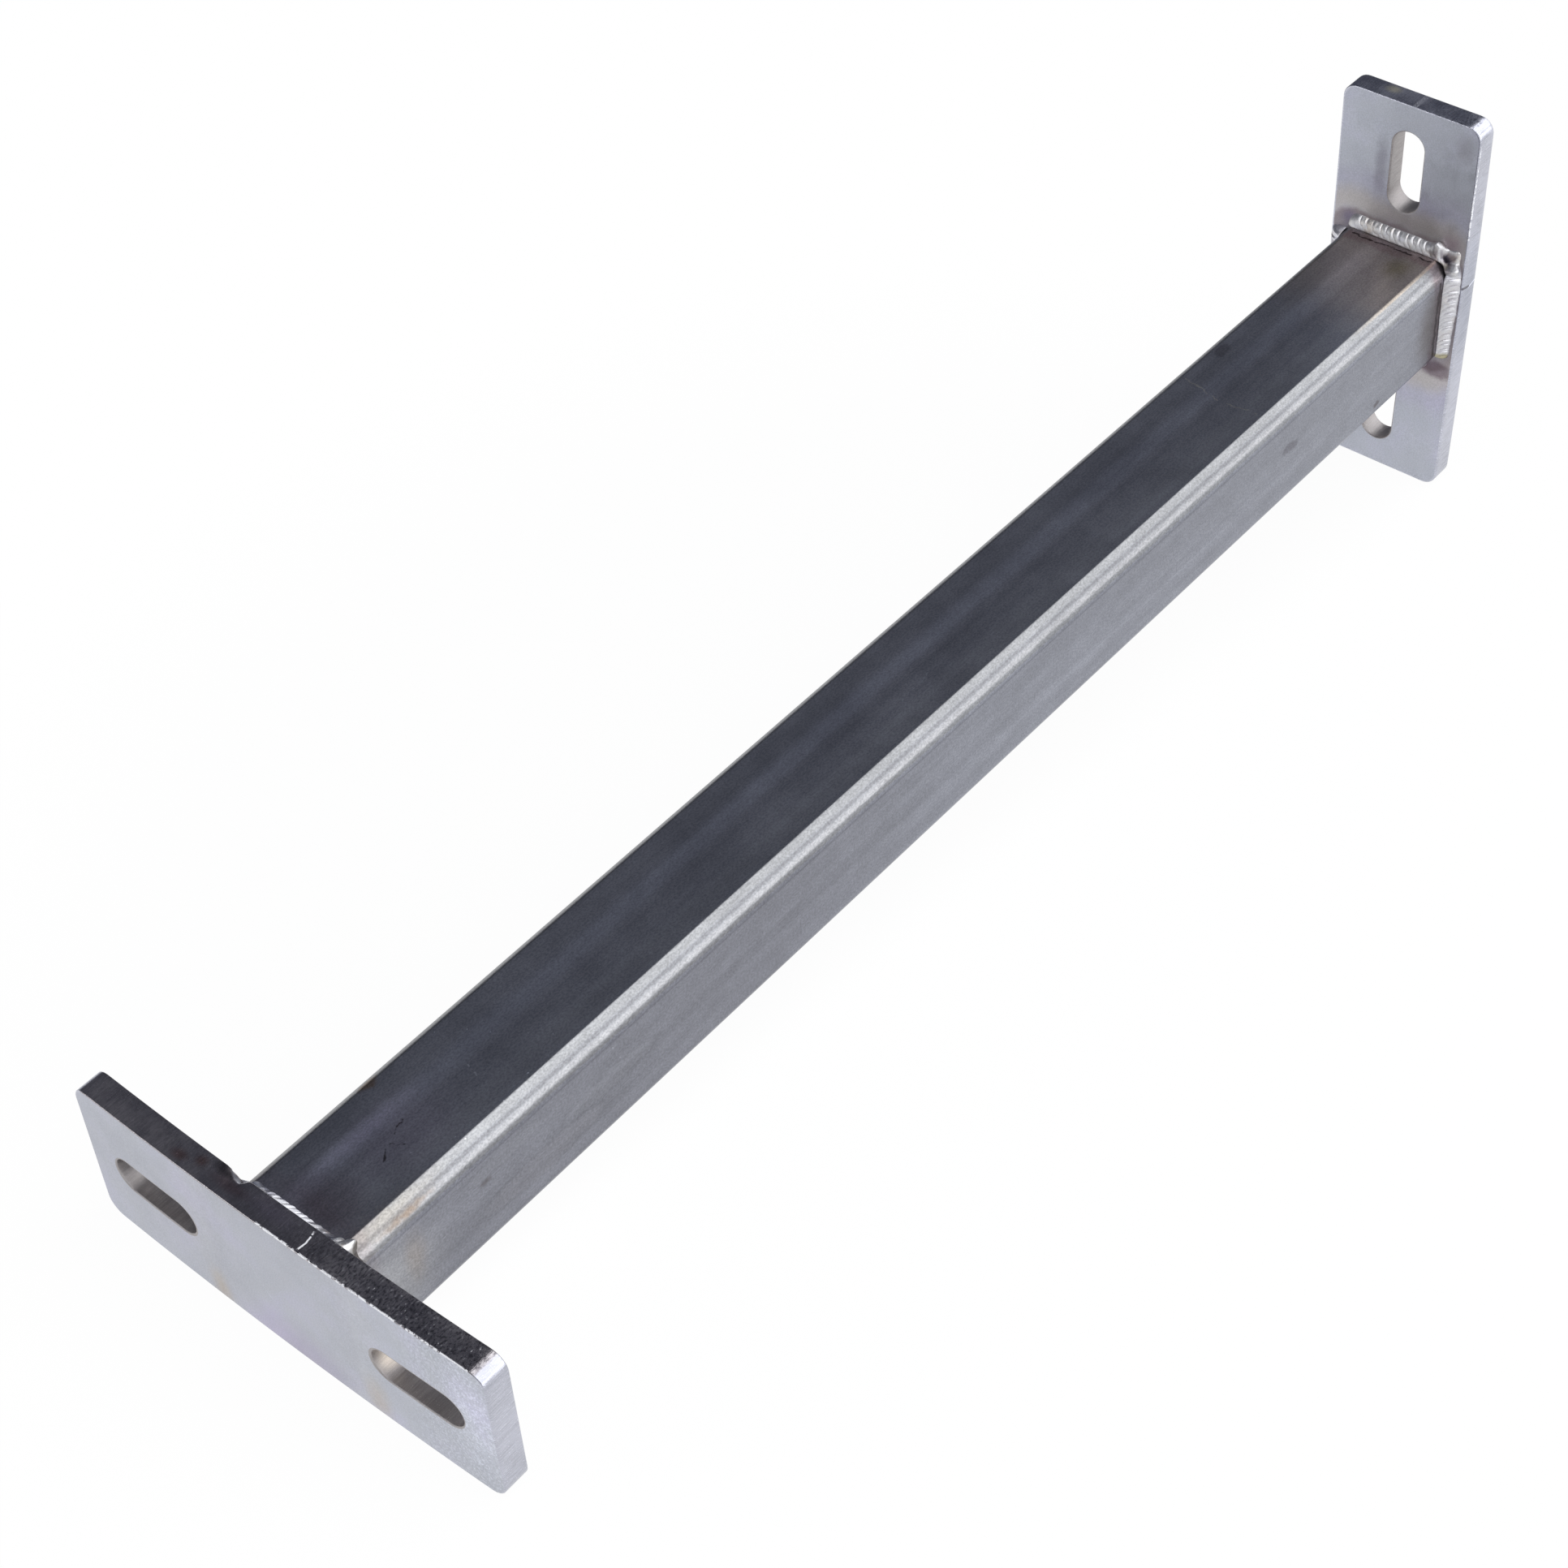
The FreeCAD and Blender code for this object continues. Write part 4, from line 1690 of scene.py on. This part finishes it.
SILVER_WELD = WeldMetal("weld_silver", oxide=0.35)
DIM_WELD = WeldMetal(
    "weld_dim",
    base=(0.62, 0.62, 0.66),
    # Span of y whose ridges get painted highlights.
    ridge_glint_span=(-8.5, 7.0),
    marks=(
        Spot((10, 15, 23), (6, 8, 6), (0.34, 0.36, 0.42), 0.5),
        Spot((10, -17, 23), (6, 7, 6), (0.34, 0.34, 0.38), 0.5),
    ),
)
PALE_WELD = WeldMetal(
    "weld_pale",
    base=(0.60, 0.60, 0.63),
    oxide=0.15,
    marks=(Spot((505, -22, -17.5), (5, 5, 3.2), (0.68, 0.63, 0.42), 0.5),),
)
LUMPY_WELD = WeldMetal(
    "weld_lumps",
    base=(0.66, 0.66, 0.67),
    marks=(
        Spot((505, -19, 19), (3, 2.4, 2.4), (0.5, 0.46, 0.40), 0.8),
        Spot((10.5, -19.7, 19.7), (5, 4.6, 4.6), (0.26, 0.24, 0.22), 0.4),
    ),
)

NEAR_TOP_RUN = WeldRun(
    End.NEAR,
    Side.TOP,
    ripple=0.50,
    bulge=0.75,
    lean=(0.66, 0.98),
    thin_end=0.1,
    thin_from=-2.2,
    seed=2,
)
FAR_TOP_RUN = WeldRun(
    End.FAR,
    Side.TOP,
    pitch=2.5,
    ripple=0.34,
    lean=(0.62, 0.88),
    early=3.6,
    soft_start=3.4,
    puddled=True,
    lump_height=3.3,
    slant=2.4,
    seed=6,
)
FAR_RIGHT_RUN = WeldRun(
    End.FAR,
    Side.RIGHT,
    pitch=1.8,
    ripple=0.32,
    bulge=0.8,
    lean=(0.95, 1.0),
    thin_end=0.03,
    thin_from=2.0,
    early=2.4,
    soft_start=5.0,
    taper=0.26,
    seed=9,
)
WELDS = (
    (NEAR_TOP_RUN, DIM_WELD),
    (WeldRun(End.NEAR, Side.RIGHT, puddled=True, seed=3), LUMPY_WELD),
    (WeldRun(End.NEAR, Side.BOTTOM, pitch=2.1, seed=4), SILVER_WELD),
    (WeldRun(End.NEAR, Side.LEFT, pitch=2.4, seed=5), SILVER_WELD),
    (FAR_TOP_RUN, LUMPY_WELD),
    (WeldRun(End.FAR, Side.LEFT, thin_end=0.03, seed=7), SILVER_WELD),
    (WeldRun(End.FAR, Side.BOTTOM, pitch=2.1, seed=8), SILVER_WELD),
    (FAR_RIGHT_RUN, PALE_WELD),
)


def build_welds() -> List[Thing]:
    """The eight welds' pieces, from the top round the tube at each end.

    Returns:
        The pieces. Welds of the same finish share one material.
    """
    materials = {}
    pieces = []
    for run, metal in WELDS:
        if metal.name not in materials:
            materials[metal.name] = metal.make()
        pieces.append(run.build(materials[metal.name]))
    return pieces


def main() -> None:
    """Build the bracket's pieces in order and log their face counts, then the studio."""
    logging.basicConfig(level=logging.INFO, format="%(name)s: %(message)s")
    pieces = [SquareTube().build(TubeSteel().make())]
    cut = CUT_EDGE.make()
    slot = SLOT_WALL.make()
    pieces.append(SlottedPlate(End.NEAR, bow=1.3, nicks=NOTCH).build(CROSS_FACE.make(), cut, slot))
    pieces.append(SlottedPlate(End.FAR, bow=1.1).build(UPRIGHT_FACE.make(), cut, slot))
    pieces += build_welds()
    for piece in pieces:
        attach(piece, "root")
        LOG.info("%s: %d faces", piece.name, len(piece.data.polygons))
    Studio().build()


if __name__ == "__main__":
    main()
